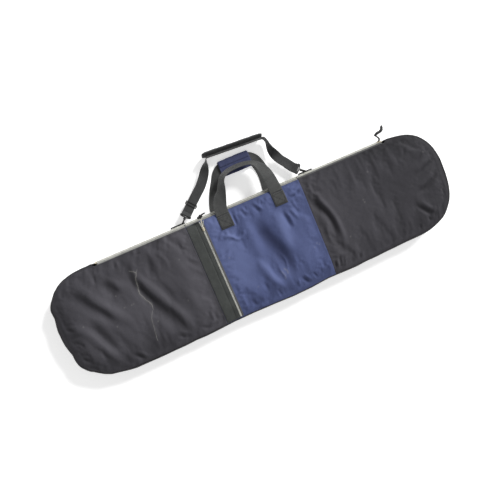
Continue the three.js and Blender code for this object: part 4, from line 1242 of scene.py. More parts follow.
def back_panel():
    columns = np.concatenate([outline_columns(0, -1, 6.0)[:-1], outline_columns(0, 1, 6.0)])
    width = half_width(columns)
    x, y = grid(columns, width, width, 5.0)
    e = inset(x, y)
    low = np.maximum(3 * (1 - np.clip(e / 14, 0, 1)) ** 2, over_back_patches(x, y, 5, 120))
    crease = (0.25 * np.abs(vnoise(x + y, y - x, scale=60, seed=62))
              + 0.18 * np.abs(vnoise(x, y, scale=17, seed=63)))
    shape = sheet(x, y, low + 1.2, 1.2, low + crease * smooth(e / 20) * 0.6)
    piece("back_panel_cloth", shape, "back", "bag", "back_outer_panel",
          edge=edge_attr(shape[2], 30))
    columns = columns[np.abs(columns) < HALF_L - 12]
    width = half_width(columns, 9.0)
    x, y = grid(columns, width, width, 9.0)
    edge_rise = np.where(inset(x, y) < 24, 1.6, 0)
    floor_z = np.maximum(over_back_patches(x, y, 10, 114), edge_rise) + 1.5
    piece("back_padding", sheet(x, y, np.full_like(x, 9.2), 7.0, floor_z), "foam", "bag",
          "back_foam")
    shape = sheet(x, y, 10.05 + 0.25 * vnoise(x, y, scale=45, seed=64), 0.6)
    piece("back_lining_cloth", shape, "lining", "bag", "back_lining", edge=edge_attr(shape[2]))


back_panel()

# ---------------------------------------------------------------- gusset
WALL_LOW, WALL_TOP, WALL_TOP_ZIP = 4.8, 64.3, 44.8      # the zip side is lower


def wall(node, path, top_at, bulge=1.0, seed=70):
    """Upright cloth wall along (x, y) points, its outer face on them, gently gathered."""
    x, y = resample(path, 5.0).T
    at = np.linspace(0, arc(path)[-1], len(x))
    tx, ty = np.gradient(x), np.gradient(y)
    length = np.hypot(tx, ty)
    nx, ny = (ty / length)[:, None], (-tx / length)[:, None]
    rows = 15
    q = np.linspace(0, 1, rows)
    z = WALL_LOW + (top_at(x, y) - WALL_LOW)[:, None] * q[None]
    belly = np.sin(math.pi * q)[None]
    out = bulge * belly * (0.35 + 0.35 * vnoise(at, 0.0, scale=80, seed=seed)[:, None])
    out = out + 0.5 * vnoise(at[:, None] + z * 0.5, z, scale=16, seed=seed + 1) * belly
    out = np.clip(out, -0.6, 1.6)

    def face(offset):
        return np.stack([x[:, None] + nx * offset, y[:, None] + ny * offset, z], -1)

    inner = face(np.full_like(z, -3.0))
    verts, faces = loft(np.concatenate([face(out), inner[:, ::-1]], 1))
    uv = np.stack([np.repeat(at, 2 * rows), np.concatenate([z, z[:, ::-1]], 1).ravel()], 1)
    uv = np.vstack([uv, [[0, 0], [at[-1], 0]]])
    seam = np.abs(np.concatenate([q, q[::-1]]) * 2 - 1) ** 4
    piece(node + "_cloth", (verts, faces, uv), "gusset", "bag", node,
          edge=np.concatenate([np.tile(seam, len(at)), [0, 0]]))


def end_points(sign, inward=0.0):
    """Outline of one rounded end, from +Y to -Y."""
    angle = np.linspace(math.pi / 2, -math.pi / 2, 73)
    x = X_END + (END - inward) * np.abs(np.cos(angle)) ** (2 / END_POWER)
    y = (HALF_W - inward) * squared(np.sin(angle), 2 / END_POWER)
    x[0] = x[-1] = X_END
    y[0], y[-1] = HALF_W - inward, -(HALF_W - inward)
    return np.stack([sign * x, y], 1)


def level(height):
    return lambda x, y: np.full_like(x, height)


def end_top(sign, zip_end):
    """Top of an end wall, stepping down to the zip side at zip_end."""
    step = WALL_TOP - WALL_TOP_ZIP
    return lambda x, y: np.where(
        y > 150, WALL_TOP_ZIP + step * smooth((sign * x - zip_end) / 8), WALL_TOP)


wall("gusset_lower", [(X_END, -HALF_W), (-X_END, -HALF_W)], level(WALL_TOP))
wall("gusset_zip_side", [(-X_END, HALF_W), (X_END, HALF_W)], level(WALL_TOP_ZIP), bulge=0.6)
wall("gusset_nose", end_points(1), end_top(1, 609), seed=74)
wall("gusset_tail", end_points(-1)[::-1], end_top(-1, 590), seed=77)


# ---------------------------------------------------------------- piping
def piping():
    """Piping round the front edge, open along the zip, and all round the back edge."""
    tail, nose = end_points(-1, -2.1), end_points(1, -2.1)
    path = np.vstack([tail, nose[::-1]])
    first = np.argmax(path[:, 0] < -598)
    last = len(path) - np.argmax(path[::-1, 0] > 617)
    path = resample(path[first:last], 4.0)
    wobble = 0.35 * vnoise(np.arange(len(path)) * 4.0, 0.0, scale=30, seed=81)
    piece("front_edge_piping", tube(np.column_stack([path, 65.4 + wobble]), 1.55, 10),
          "piping", "bag", "front_piping")
    loop = resample(np.vstack([tail, nose[::-1], tail[:1]]), 5.0)[:-1]
    loop = np.column_stack([loop, np.full(len(loop), 4.9)])
    piece("back_edge_piping", tube(loop, 1.5, 10, closed=True), "piping", "bag",
          "back_piping")


piping()

# ---------------------------------------------------------------- main zip
# outline of a tooth: foot on the tape side, waist, rounded head (toward, along)
TOOTH = [(-0.5, -0.42), (-0.12, -0.5), (0.08, -0.30), (0.28, -0.46), (0.5, -0.26),
         (0.5, 0.26), (0.28, 0.46), (0.08, 0.30), (-0.12, 0.5), (-0.5, 0.42)]


def tooth(centre, along, toward, out, size):
    """One moulded tooth with its head pointing toward the other row."""
    size_along, size_toward, size_out = size
    rings = []
    for z, k in ((-0.5, 0.72), (-0.34, 1.0), (0.34, 1.0), (0.5, 0.72)):
        reach = size_toward * (0.94 if k < 1 else 1)
        rings.append([centre + toward * (a * reach) + along * (b * size_along * k)
                      + out * z * size_out for a, b in TOOTH])
    return loft(rings)


def chain(x, across, out):
    return np.array([x, CHAIN_Y, CHAIN_Z]) + CHAIN_ACROSS * across + CHAIN_OUT * out


def main_teeth(node, x0, x1, phase, side, on):
    """A row of teeth on one side (-1 or 1) of the chain, facing the other."""
    bag = Bag()
    for x in np.arange(x0 + PITCH * (0.5 + phase * 0.5), x1 - PITCH * 0.3, PITCH):
        bag.add(*tooth(chain(x, side * 2.95, 0), np.array([1.0, 0, 0]),
                       -side * CHAIN_ACROSS, CHAIN_OUT, (PITCH * 0.76, 5.5, 3.1)))
    bag.make("main_" + node, "teeth", on, node, sharp=40)


def main_tape(node, x0, x1, start, end, on, seed):
    """Tape along X whose section runs from start to end, both (y, z)."""
    start, end = np.array(start), np.array(end)
    columns = np.linspace(x0, x1, max(int((x1 - x0) / 5.0), 3))
    q = np.linspace(0, 1, 6)
    run = end - start
    normal = unit([run[1], -run[0]])
    if normal.sum() < 0:
        normal = -normal
    rings = []
    for x in columns:
        bow = 0.35 * np.sin(math.pi * q) * vnoise(x, q, scale=22, seed=seed)
        mid = start + run * q[:, None] + normal * bow[:, None]
        ring = np.vstack([mid + normal * 0.38, (mid - normal * 0.38)[::-1]])
        rings.append(np.column_stack([np.full(12, x), ring]))
    verts, faces = loft(rings)
    u = np.concatenate([q, q[::-1]]) * math.hypot(*run)
    uv = np.stack([np.tile(u, len(columns)), np.repeat(columns, 12)], 1)
    uv = np.vstack([uv, [[0, 0], [0, 0]]])
    piece("main_" + node, (verts, faces, uv), "tape" if "nose" in node else "tape_pale", on,
          node, edge=0.0)


def zip_stop(node, x0, x1):
    rings = []
    for t, k in ((0, 0.8), (0.15, 1.0), (0.85, 1.0), (1, 0.8)):
        rings.append([chain(x0 + (x1 - x0) * t, 4.9 * k * squared(math.cos(w), 0.5),
                            1.8 * k * squared(math.sin(w), 0.5)) for w in turn(16)])
    bag = Bag()
    bag.add(*loft(rings))
    bag.make("main_" + node, "slider", "bag", node, sharp=50)


main_tape("zip_back_tape", ZIP_X0, ZIP_X1, (202.0, 43.6), chain(0, -4.6, 0)[1:], "bag", 91)
main_teeth("zip_back_teeth", ZIP_X0, ZIP_X1, 0, -1, "bag")
for part, x0, x1, on in (("tail", ZIP_X0, TAIL_SEAM - 0.4, "tail"),
                         ("centre", TAIL_SEAM, NOSE_SEAM, "mouth"),
                         ("nose", NOSE_SEAM + 0.4, ZIP_X1, "nose")):
    main_tape("zip_front_tape_" + part, x0, x1, chain(0, 4.6, 0)[1:], (192.4, 65.3), on, 92)
    first = ZIP_X0 + PITCH * math.ceil((x0 - ZIP_X0) / PITCH)
    main_teeth("zip_front_teeth_" + part, first, x1, 1, 1, on)
zip_stop("zip_stop_tail", ZIP_X0 - 7, ZIP_X0 - 0.5)
zip_stop("zip_stop_nose", ZIP_X1 + 0.5, ZIP_X1 + 4)

# ---------------------------------------------------------------- sliders
SLIDER_HALF = 7.5
# position along a plate and its relative width there, -1 at the joined end
PLATE = [(-1, 0.62), (-0.86, 0.80), (-0.4, 0.86), (0.2, 0.95), (0.7, 1.0), (0.93, 0.86), (1, 0.6)]
# section of a plate: width, height
PLATE_SECTION = [(-0.86, 0), (0.86, 0), (1, 0.35), (1, 0.65), (0.86, 1), (-0.86, 1),
                 (-1, 0.65), (-1, 0.35)]


def slider(name, node, place, half_wide, low, high, bridge):
    """Two plates, a web between them and an arched bridge for the cord.

    place maps length, width and height to space; low and high are the plates' heights.
    """
    bag = Bag()
    for z0, z1 in (low, high):
        rings = []
        for a, wide in PLATE:
            k = 0.9 if abs(a) == 1 else 1.0
            rings.append([place(a * SLIDER_HALF, b * wide * half_wide,
                                z0 + (z1 - z0) * (0.5 + (c - 0.5) * k))
                          for b, c in PLATE_SECTION])
        bag.add(*loft(rings))
    bag.add(*loft([[place(SLIDER_HALF * 0.72 + 1.6 * math.cos(w), 0.5 * math.sin(w), z)
                    for w in turn(8)] for z in np.linspace(low[1] - 0.2, high[0] + 0.2, 3)]))
    top = high[1]
    arch = [(-0.66, -0.2), (-0.6, bridge * 0.62), (-0.2, bridge), (0.3, bridge),
            (0.62, bridge * 0.62), (0.68, -0.2)]
    points = [place(SLIDER_HALF * a, 0, top + c) for a, c in arch]
    bag.add(*tube(points, 0.95, 8, step=0.8, flatten=1.5)[:2])
    bag.make(name, "slider", node, node, sharp=45)


MAIN_SLIDER_X = 594.0
slider("main_zip_slider", "main_slider", lambda a, b, c: chain(MAIN_SLIDER_X + a, b, c),
       half_wide=4.9, low=(-3.6, -2.2), high=(2.2, 3.8), bridge=3.4)
slider("pocket_zip_slider", "pocket_slider",
       lambda a, b, c: np.array([POCKET_ZIP_X + b, 158 + a, 80 + c]),
       half_wide=4.6, low=(3.55, 3.9), high=(4.2, 5.0), bridge=2.6)


# ---------------------------------------------------------------- pocket zip
def pocket_teeth(side, x_closed, x_open, facing):
    """Teeth along Y that part from x_closed to x_open above the slider."""
    bag = Bag()
    toward = np.array([facing, 0.0, 0.0])
    opens, end = 166, ZIP_EDGE_Y - 3
    for y in np.arange(-195.5, ZIP_EDGE_Y - 3.5, POCKET_PITCH):
        if facing > 0:
            y = y + 0.5 * POCKET_PITCH
        x = x_closed + (x_open - x_closed) * max(0.0, (y - opens) / (end - opens))
        z = cad_front(POCKET_ZIP_X, y) + 2.0
        slope = (cad_front(POCKET_ZIP_X, y + 2.0) - cad_front(POCKET_ZIP_X, y - 2.0)) / 4
        along = unit([0, 1, slope])
        bag.add(*tooth(np.array([x, y, z]), along, toward, np.cross([1.0, 0, 0], along),
                       (POCKET_PITCH * 0.74, 2.9, 2.0)))
    node = "pocket_zip_teeth_" + side
    bag.make(node + "_row", "teeth", "mouth", node, sharp=40)


def pocket_tape(side, x0, x1):
    x, y = np.meshgrid(np.linspace(x0, x1, 6), np.linspace(-196, ZIP_EDGE_Y - 3, 110),
                       indexing="ij")
    z = cad_front(POCKET_ZIP_X, y) + 0.62 + 0.1 * vnoise(x * 2, y, scale=15, seed=95)
    node = "pocket_zip_tape_" + side
    piece(node + "_cloth", sheet(x, y, z, 0.4), "tape", "mouth", node, edge=0.0)


pocket_teeth("left", -175.5, -176.8, 1)
pocket_teeth("right", -172.6, -161.2, -1)
pocket_tape("left", -179.4, -174.4)
pocket_tape("right", -173.6, -164.2)


# ---------------------------------------------------------------- pull cords
def knot(centre, radius, seed, size):
    """A tight overhand knot as three interlocking turns."""
    t = turn(40)
    rng = np.random.default_rng(seed)
    tilt = (Matrix.Rotation(rng.random() * 1.2, 3, "X")
            @ Matrix.Rotation(rng.random() * 1.2, 3, "Z"))
    path = np.stack([np.sin(t) + 2 * np.sin(2 * t), np.cos(t) - 2 * np.cos(2 * t),
                     -np.sin(3 * t)], 1) * 0.95 * size
    return tube(path @ np.array(tilt).T + np.array(centre), radius, 10, closed=True)


def main_pull():
    """Cord loop round the slider's bridge, its knot, and a ridged grip."""
    x = MAIN_SLIDER_X
    _, y, z = chain(x, 0, 5.7)           # where the cord meets the bridge
    bag = Bag()
    for dx, dz in ((-1.3, 0.6), (1.3, -0.5)):
        leg = [(x + dx, y - 0.4, z - 0.2), (x + 3.4 + dx, y + 3.4, z + 2.2 + dz * 0.3),
               (x + 4 + dx, y + 8.5, z + 3.6), (x + 1 + dx * 0.7, y + 15, z + 4.1 + dz * 0.4),
               (x - 3.4 + dx * 0.4, 228.5, z + 3.8), (x - 4.2, 232.0, z + 3.6)]
        bag.add(*tube(leg, 2.3, 10, step=1.4))
    bight = [(x - 1.3, y - 0.4, z - 0.2), (x, y - 1.6, z - 0.6), (x + 1.3, y - 0.4, z - 0.2)]
    bag.add(*tube(bight, 1.25, 10, step=0.8))
    bag.add(*knot((x - 3.8, 231.8, z + 3.5), 1.9, seed=3, size=1.5))
    bag.make("main_pull_loop", "cord", "main_pull", "main_pull_cord")

    grip = [(x - 3.6, 234.6, 60.3), (x + 2.5, 236.0, 60.4), (x + 8, 237.5, 59.5),
            (x + 17, 238.2, 59.2), (x + 24, 240.5, 58.5), (x + 29.5, 244, 57.6),
            (x + 32, 249, 56.6), (x + 36, 257, 55)]
    bag = Bag()
    bag.add(*tube(grip, [3.8, 5.4, 5.4, 5.0, 5.4, 5.6, 5.2, 5.4, 4.0], 14, step=1.5))
    curve = catmull(grip, 1.0)
    _, first, second = frames(curve)
    w = turn(20)[:, None]
    for part in (0.16, 0.34, 0.52, 0.70, 0.86):          # moulded ridges
        i = int(part * (len(curve) - 1))
        ridge = curve[i] + 5.4 * (np.cos(w) * first[i] + np.sin(w) * second[i])
        bag.add(*tube(ridge, 0.6, 8, closed=True))
    bag.make("main_pull_toggle", "plastic", "main_pull", "main_pull_grip")


def pocket_pull():
    """Two pale cord legs, and a dark knot with its loose ends."""
    bag = Bag()
    for dx in (-0.9, 0.9):
        leg = [(-174 + dx, 160.2, 87.2), (-173.2 + dx, 168.0, 86.6), (-171 + dx, 182, 86.6),
               (-168.2 + dx * 0.8, 194, 87.4), (-166.4 + dx * 0.5, 202, 88.6)]
        bag.add(*tube(leg, 1.0, 10, step=1.4))
    bag.make("pocket_pull_tie", "cream_cord", "pocket_pull", "pocket_pull_cord")
    bag = Bag()
    bag.add(*knot((-166.5, 204.0, 90.2), 2.7, seed=8, size=2.1))
    bag.add(*tube([(-166.5, 203, 89.4), (-163, 206.6, 89.8), (-158.5, 208.8, 89.4),
                   (-152, 210.2, 89.0), (-146.5, 210.8, 88.4)], [3.2, 3.5, 3.2, 2.8, 2.2],
                  10, step=1.2))
    bag.add(*tube([(-167, 203, 89.0), (-172, 206, 89.2), (-176.5, 205, 89.2),
                   (-178.5, 201.5, 89.0), (-176, 199.5, 89.2), (-170.5, 202.2, 89.6)],
                  2.4, 10, step=1.2))
    bag.make("pocket_pull_knot", "cord", "pocket_pull")


main_pull()
pocket_pull()


# ---------------------------------------------------------------- handle patches
def handle_patch(face, side, x0, y0, y1, base, on, seed):
    """Webbing patch lying on base, sunk along its stitched edges."""
    x1 = x0 + WEB_W
    x, y = np.meshgrid(np.linspace(x0, x1, 26), np.linspace(y0, y1, int((y1 - y0) / 2) + 2),
                       indexing="ij")
    seamed = 0.45 * (bell(x, x0 + 3.5, 1.2) + bell(x, x1 - 3.5, 1.2) + bell(y, y0 + 3.5, 1.2))
    to_edge = np.minimum(np.minimum(x - x0, x1 - x), y - y0)
    soft = 0.5 * np.clip(1 - to_edge / 2.2, 0, 1) ** 2
    low = base(x, y) + PATCH_LIFT
    top = low + WEB_T - seamed - soft + 0.12 * vnoise(x, y, scale=14, seed=seed)
    verts, faces, uv = sheet(x, y, top, WEB_T - 0.1, low)
    edge = np.clip(1 - np.minimum(uv[:, 0] - x0, x1 - uv[:, 0]) / 2.5, 0, 1)
    piece(f"{face}_patch_{side}", (verts, faces, uv - [[(x0 + x1) / 2, 0]]), "webbing", on,
          f"{face}_handle_patch_{side}", edge=edge)


def patch_top(x, y):
    return cad_front(x, y) + PATCH_LIFT + WEB_T - 0.25


def front_patches():
    threads = Bag()
    for side, x0 in FRONT_PATCHES.items():
        handle_patch("front", side, x0, 127, 177, cad_front, "mouth", seed=101 + x0)
        left, right, low = x0 + 4, x0 + WEB_W - 4, 131
        lines = box_lines(left, right, low, 172.5, cross_in=2)
        lines.append([(left, low + 2.2), (right, low + 2.2)])
        for line in lines:
            surface_stitches(threads, patch_top, line, lift=0.75, **HEAVY_STITCH)
    threads.make("front_patch_stitching", "thread", "mouth")


def back_patches():
    for side, x0 in BACK_PATCHES.items():
        handle_patch("back", side, x0, 126.5, 206, lambda x, y: 0 * x, "bag", seed=121 + x0)
    threads = Bag()
    for x0 in BACK_PATCHES.values():      # stitched on the underside
        for line in box_lines(x0 + 4, x0 + WEB_W - 4, 131, 172, cross_in=0):
            path = resample([(x, y, 0.28) for x, y in line], 3.0)
            stitch_line(threads, path, (0, 0, -1), **BACK_STITCH)
    threads.make("back_patch_stitching", "thread", "bag")


# ---------------------------------------------------------------- handles
FRONT_Z = cad_front(0.0, 178.6) + PATCH_LIFT + WEB_T / 2      # middle of the webbing on its patch
BACK_Z = PATCH_LIFT + WEB_T / 2 + 0.4
# centre x, y, z and width direction x, y, z, from the left foot to the right
FRONT_ROWS = [
    [-86, 178.6, FRONT_Z, 1, 0, 0], [-84.8, 204, FRONT_Z - 1.7, 0.999, -0.05, 0.01],
    [-71, 239, 70.4, 0.89, -0.26, 0.37], [-54, 268, 64.8, 0.56, -0.24, 0.79],
    [-42, 296, 58.2, 0.33, -0.28, 0.9], [-26, 316, 53.2, 0.15, -0.42, 0.895],
    [-3, 327, 50.6, 0.02, -0.46, 0.888], [28, 331.5, 49.8, 0, -0.48, 0.877],
    [62, 331, 50.3, -0.02, -0.48, 0.877], [90, 325, 52.2, -0.14, -0.47, 0.87],
    [110, 311.5, 55, -0.45, -0.43, 0.78], [123, 291, 59.5, -0.76, -0.33, 0.55],
    [131, 262, 66, -0.93, -0.2, 0.28], [134.5, 222, FRONT_Z - 3.2, -0.99, -0.06, 0.1],
    [136, 178.6, FRONT_Z, -1, 0, 0]]
BACK_ROWS = [
    [-94, 207, BACK_Z, 1, 0, 0], [-94, 214, BACK_Z, 1, 0, 0],
    [-86, 240, BACK_Z + 0.6, 0.98, -0.12, 0.05], [-69, 276, BACK_Z + 1.2, 0.88, -0.44, 0.09],
    [-48, 311, BACK_Z + 3.2, 0.78, -0.58, 0.2], [-33, 334, BACK_Z + 6, 0.48, -0.86, 0.15],
    [-14, 348.5, 9, 0.1, -1, 0], [6, 350.5, 9.5, 0, -1, 0], [82, 350.5, 9.5, 0, -1, 0],
    [102, 348.5, 9, -0.1, -1, 0], [118, 336, BACK_Z + 5, -0.5, -0.86, 0],
    [129, 311, BACK_Z + 2, -0.86, -0.5, 0], [134, 278, BACK_Z + 0.6, -0.98, -0.2, 0],
    [132, 240, BACK_Z, -1, 0.06, 0], [128, 214, BACK_Z, -1, 0, 0],
    [128, 207, BACK_Z, -1, 0, 0]]


def front_handle():
    strap = ribbon(FRONT_ROWS, WEB_W, count=11, cup=0.5, ripple=0.5, seed=111)
    piece("front_handle_strap", strap, "webbing", "front_handle", "front_handle_webbing")
    # the webbing is joined across its right leg, between two of its rows
    upper, lower = np.array(FRONT_ROWS[12][:3]), np.array(FRONT_ROWS[13][:3])
    normal = np.array([0.169, 0.151, 0.958])
    wide = np.array([-0.9727, -0.1317, 0.1925])
    threads = Bag()
    for y in (238.0, 242.5):
        centre = lower + (upper - lower) * (y - lower[1]) / (upper[1] - lower[1])
        centre = centre + 1.7 * normal
        path = resample([centre - wide * 23.5, centre + wide * 23.5], 3.0)
        stitch_line(threads, path, normal, **JOIN_STITCH)
    threads.make("front_handle_join_stitching", "thread", "front_handle")


def grip_sleeve():
    """Padded sleeve round the back handle: pulled in at its bound ends, with soft folds."""
    x0, x1, y0, y1, z0, z1 = -20, 108, 316.5, 382.5, 1.0, 18.0
    thick = 5.0
    mid_y, mid_z = (y0 + y1) / 2, (z0 + z1) / 2
    w = turn(44)
    round_y, round_z = squared(np.cos(w), 0.72), squared(np.sin(w), 0.8)
    outer, inner = [], []
    for x in np.linspace(x0, x1, 60):
        t = (x - x0) / (x1 - x0)
        to_end = min(t, 1 - t)
        pull = 1 - 0.10 * bell(to_end, 0, 0.05)
        half_y, half_z = (y1 - y0) / 2 * pull, (z1 - z0) / 2 * (pull - 0.03)
        wobble = (1.0 * vnoise(x + round_y * 14, w * 9, scale=19, seed=131)
                  + 0.6 * vnoise(x, w * 5, scale=9, seed=132))
        groove = -1.4 * bell(t, 0.06, 0.012) - 1.4 * bell(t, 0.94, 0.012)
        k = wobble * (1 - bell(to_end, 0, 0.06)) * 0.9 + groove
        z = np.maximum(mid_z + (half_z + k * 0.6 - 0.4) * round_z, z0 - 0.3)
        xs = np.full(len(w), x)
        outer.append(np.stack([xs, mid_y + (half_y + k - 0.6) * round_y, z], 1))
        inner.append(np.stack([xs, mid_y + (half_y - thick) * round_y,
                               mid_z + (half_z - thick + 1.2) * round_z], 1))
    verts, faces = loft(outer + inner[::-1], closed=True)
    x = verts[:, 0]
    angle = np.arctan2(verts[:, 2] - mid_z, verts[:, 1] - mid_y)
    edge = np.clip(1 - np.minimum(x - x0, x1 - x) / 8, 0, 1)
    piece("grip_wrap_sleeve", (verts, faces, np.stack([x, angle * 24], 1)), "wrap",
          "back_handle", "grip_wrap", edge=edge)


def grip_flap():
    """Flap over the closing edge of the sleeve."""
    x0, x1, y0, y1 = -16, 104, 356.5, 379.5
    x, y = np.meshgrid(np.linspace(x0, x1, 60), np.linspace(y0, y1, 18), indexing="ij")
    z = (19.5 + 0.5 * vnoise(x, y, scale=22, seed=141) - 1.6 * smooth((y - 371) / 9)
         - 0.5 * smooth((359 - y) / 3))
    to_edge = np.minimum(np.minimum(x - x0, x1 - x), np.minimum(y - y0, y1 - y))
    shape = sheet(x, y, z - 0.5 * bell(to_edge, 3, 0.9), 1.5)
    v = shape[2][:, 1]
    piece("grip_wrap_flap", shape, "wrap", "grip_flap", "grip_flap",
          edge=np.clip(1 - np.minimum(v - y0, y1 - v) / 3, 0, 1))


front_patches()
front_handle()
back_patches()
piece("back_handle_strap", ribbon(BACK_ROWS, WEB_W, count=11, cup=0.4, seed=112), "webbing",
      "back_handle", "back_handle_webbing")
grip_sleeve()
grip_flap()

# ---------------------------------------------------------------- strap anchors
RING_Y, RING_Z = 209.0, 12.4         # the lower bar of both D rings
RING_LEAN = math.radians(8)
RING_DEPTH = 22.0
RING_UP = np.array([0, math.sin(RING_LEAN), math.cos(RING_LEAN)])


def ring_point(x, up):
    return np.array([x, RING_Y, RING_Z]) + RING_UP * up


def anchor(side, x0, x1):
    """D ring held to the gusset by a tab of webbing round its lower bar."""
    a, b = x0 + 2.2, x1 - 2.2
    path = rounded_path([ring_point(a, 0), ring_point(b, 0), ring_point(b, RING_DEPTH),
                         ring_point(a, RING_DEPTH)], 5.0, 7)
    piece("d_ring_" + side, tube(path, 2.5, 14, closed=True), "metal", "ring_" + side,
          "ring_" + side)
    x = (x0 + x1) / 2
    bend = [(RING_Y + 4.3 * math.cos(t), RING_Z + 4.3 * math.sin(t))
            for t in np.linspace(math.pi * 0.66, -math.pi * 0.66, 15)]
    rows = [[x, y, z, 1, 0, 0]
            for y, z in [(202.3, 22.6), (202.35, 19.5), *bend, (202.35, 7.6)]]
    node = "ring_tab_" + side
    piece(node + "_webbing", ribbon(rows, 36, 1.9, step=1.5), "webbing", "bag", node)
    threads = Bag()
    for z in (18.2, 20.6):
        path = resample([(x - 15, 203.3, z), (x + 15, 203.3, z)], 3.0)
        stitch_line(threads, path, (0, 1, 0), **SMALL_STITCH)
    threads.make(node + "_stitching", "thread", "bag")


anchor("left", -284, -226)
anchor("right", 252, 311)

# ---------------------------------------------------------------- hooks and bales
HOOK_R = 8.3
HOOK_RADII = [2.0, 2.4, 2.8, 3.0, 3.0, 3.0, 2.8, 2.5, 2.2, 1.6]
# turned profiles: distance along the hook or from the bale's post, radius
SWIVEL = [(17.0, 1.8), (18.0, 3.8), (19.2, 4.9), (20.8, 5.2), (21.2, 4.6), (21.6, 5.2),
          (22.7, 5.2), (23.4, 4.2), (23.6, 2.2)]
BALE_STEM = [(0.3, 2.0), (0.5, 3.6), (2.0, 4.0), (3.4, 4.8), (4.8, 4.4)]


def turned(profile, place, squash=1.0):
    return loft([[place(p, r * math.cos(t), r * math.sin(t) * squash) for t in turn(20)]
                 for p, r in profile])


def hook(side, x, direction):
    """Snap hook, gate and bale; returns the strap's end, the bale's bar and the bar's axis."""
    origin = ring_point(x, RING_DEPTH)
    along = unit(direction)
    bar_axis = unit(np.cross(along, [0, 0, 1.0]))
    rise = np.cross(bar_axis, along)

    def hook_at(p, up, out=0.0):
        return origin + along * p + rise * up + bar_axis * out

    curve = [(12 + HOOK_R * math.cos(t), HOOK_R * math.sin(t))
             for t in np.linspace(math.pi * 0.4, -math.pi * 0.5, 12)]
    curve += [(p, -HOOK_R) for p in np.linspace(9, 1, 3)]
    curve += [(-2 + HOOK_R * math.cos(t), HOOK_R * math.sin(t))
              for t in np.linspace(math.pi * 1.5, math.pi * 0.62, 12)]
    bag = Bag()
    bag.add(*tube([hook_at(*p) for p in curve], HOOK_RADII, 12, step=1.2, up=bar_axis))
    bag.add(*turned(SWIVEL, hook_at))
    bag.make("snap_hook_" + side, "metal", side + "_hook", side + "_hook", sharp=50)

    gate = [(-2.0, 7.9), (2, 7.9), (8, 7.8), (11.8, 7.8)]
    stud = [(3.2, 8.6), (3.4, 10.6), (3.6, 11.4)]
    bag = Bag()
    bag.add(*tube([hook_at(*p) for p in gate], [1.4, 1.7, 1.8, 2.0], 10, step=1.5))
    bag.add(*tube([hook_at(*p) for p in stud], [1.5, 1.3, 1.6], 10, step=0.8))
    bag.make("hook_gate_" + side, "metal", side + "_gate", side + "_gate", sharp=50
             if False else None)

    post = origin + along * 23.9

    def bale_at(p, out, up=0.0):
        return post + along * p + bar_axis * out + rise * up

    corners = [(3.4, -3.0), (5.2, -18.4), (11.2, -20.6), (11.2, 20.6), (5.2, 18.4), (3.4, 3.0)]
    bag = Bag()
    bag.add(*turned(BALE_STEM, bale_at, squash=0.85))
    path = rounded_path([bale_at(*p) for p in corners], 2.8, 6)
    bag.add(*tube(path, 2.4, 12, closed=True))
    bag.make("strap_bale_" + side, "metal", "strap", side + "_bale", sharp=50)
    return post + along * 24.2, post + along * 11.2, bar_axis


class StrapEnd:
    """One end of the strap: where it starts, and its directions along, across and up."""

    def __init__(self, hardware, target, start):
        self.end, self.bar, self.bar_axis = hardware
        self.start = start               # station of the webbing's end along the strap
        self.along = unit(np.array(target) - self.end)
        self.wide = np.array([self.along[1], -self.along[0], 0])
        normal = unit(np.cross(self.along, self.wide))
        self.normal = normal if normal[2] > 0 else -normal

    def at(self, s):
        return self.end + self.along * s

    def row(self, s):
        return [*self.at(s), *self.wide]


LEFT = StrapEnd(hook("left", -236, [0.72, 0.69, -0.2]), (-111, 321, 24), -5)
RIGHT = StrapEnd(hook("right", 283, [-0.743, 0.669, -0.2]), (207, 304, 22), -2)

# ---------------------------------------------------------------- strap webbing
STRAP_X, STRAP_Y, STRAP_Z = 57, 404.5, 31
STRAP_SLOPE = -0.054                 # dy/dx of the straight part under the pad


def level_row(x, dy=0.0):
    """A row of the straight part, on edge."""
    return [x, STRAP_Y + STRAP_SLOPE * (x - STRAP_X) + dy, STRAP_Z, 0, 0, 1]


# centre x, y, z and width direction x, y, z, from left to right
STRAP_ROWS = [
    *[LEFT.row(s) for s in (-5, 45, 88, 110)],
    [-95, 341, 25.2, 0.80, -0.57, 0.15], [-79, 364, 27, 0.74, -0.5, 0.42],
    [-68, 383, 29.2, 0.52, -0.3, 0.8], [-60, 397, 30.6, 0.16, -0.08, 0.98],
    level_row(-51, -1.4), *[level_row(x) for x in (-38, 0, 57, 115, 169)],
    level_row(183, -2.5), [189.5, 380, 30, 0.05, 0.02, 1], [190.5, 360, 27, 0.3, 0.06, 0.94],
    [194, 339, 24.5, 0.62, 0.2, 0.74], *[RIGHT.row(s) for s in (70, 35, -2)]]
LOOP_R = 3.4
NUDGE = 0.0001                       # keeps a direction from being exactly zero


def end_loop(end, back):
    """The webbing's end, turned round the bale and laid back on itself as far as back."""
    start = end.at(end.start + 6)
    over = unit(start - end.bar)
    side = unit(end.normal - (end.normal @ over) * over)
    bar_axis = unit(end.bar_axis * np.sign(end.bar_axis @ end.wide) + NUDGE)
    rows = [[*start, *end.wide]]
    for t in np.linspace(0.45 * math.pi, 1.55 * math.pi, 9):
        centre = end.bar + over * LOOP_R * math.cos(t) + side * LOOP_R * math.sin(t)
        rows.append([*centre, *bar_axis])
    for point in (start, end.at(end.start + back)):
        rows.append([*(point - end.normal * 2.6), *end.wide])
    return ribbon(rows, STRAP_W, 1.9, step=2.0)


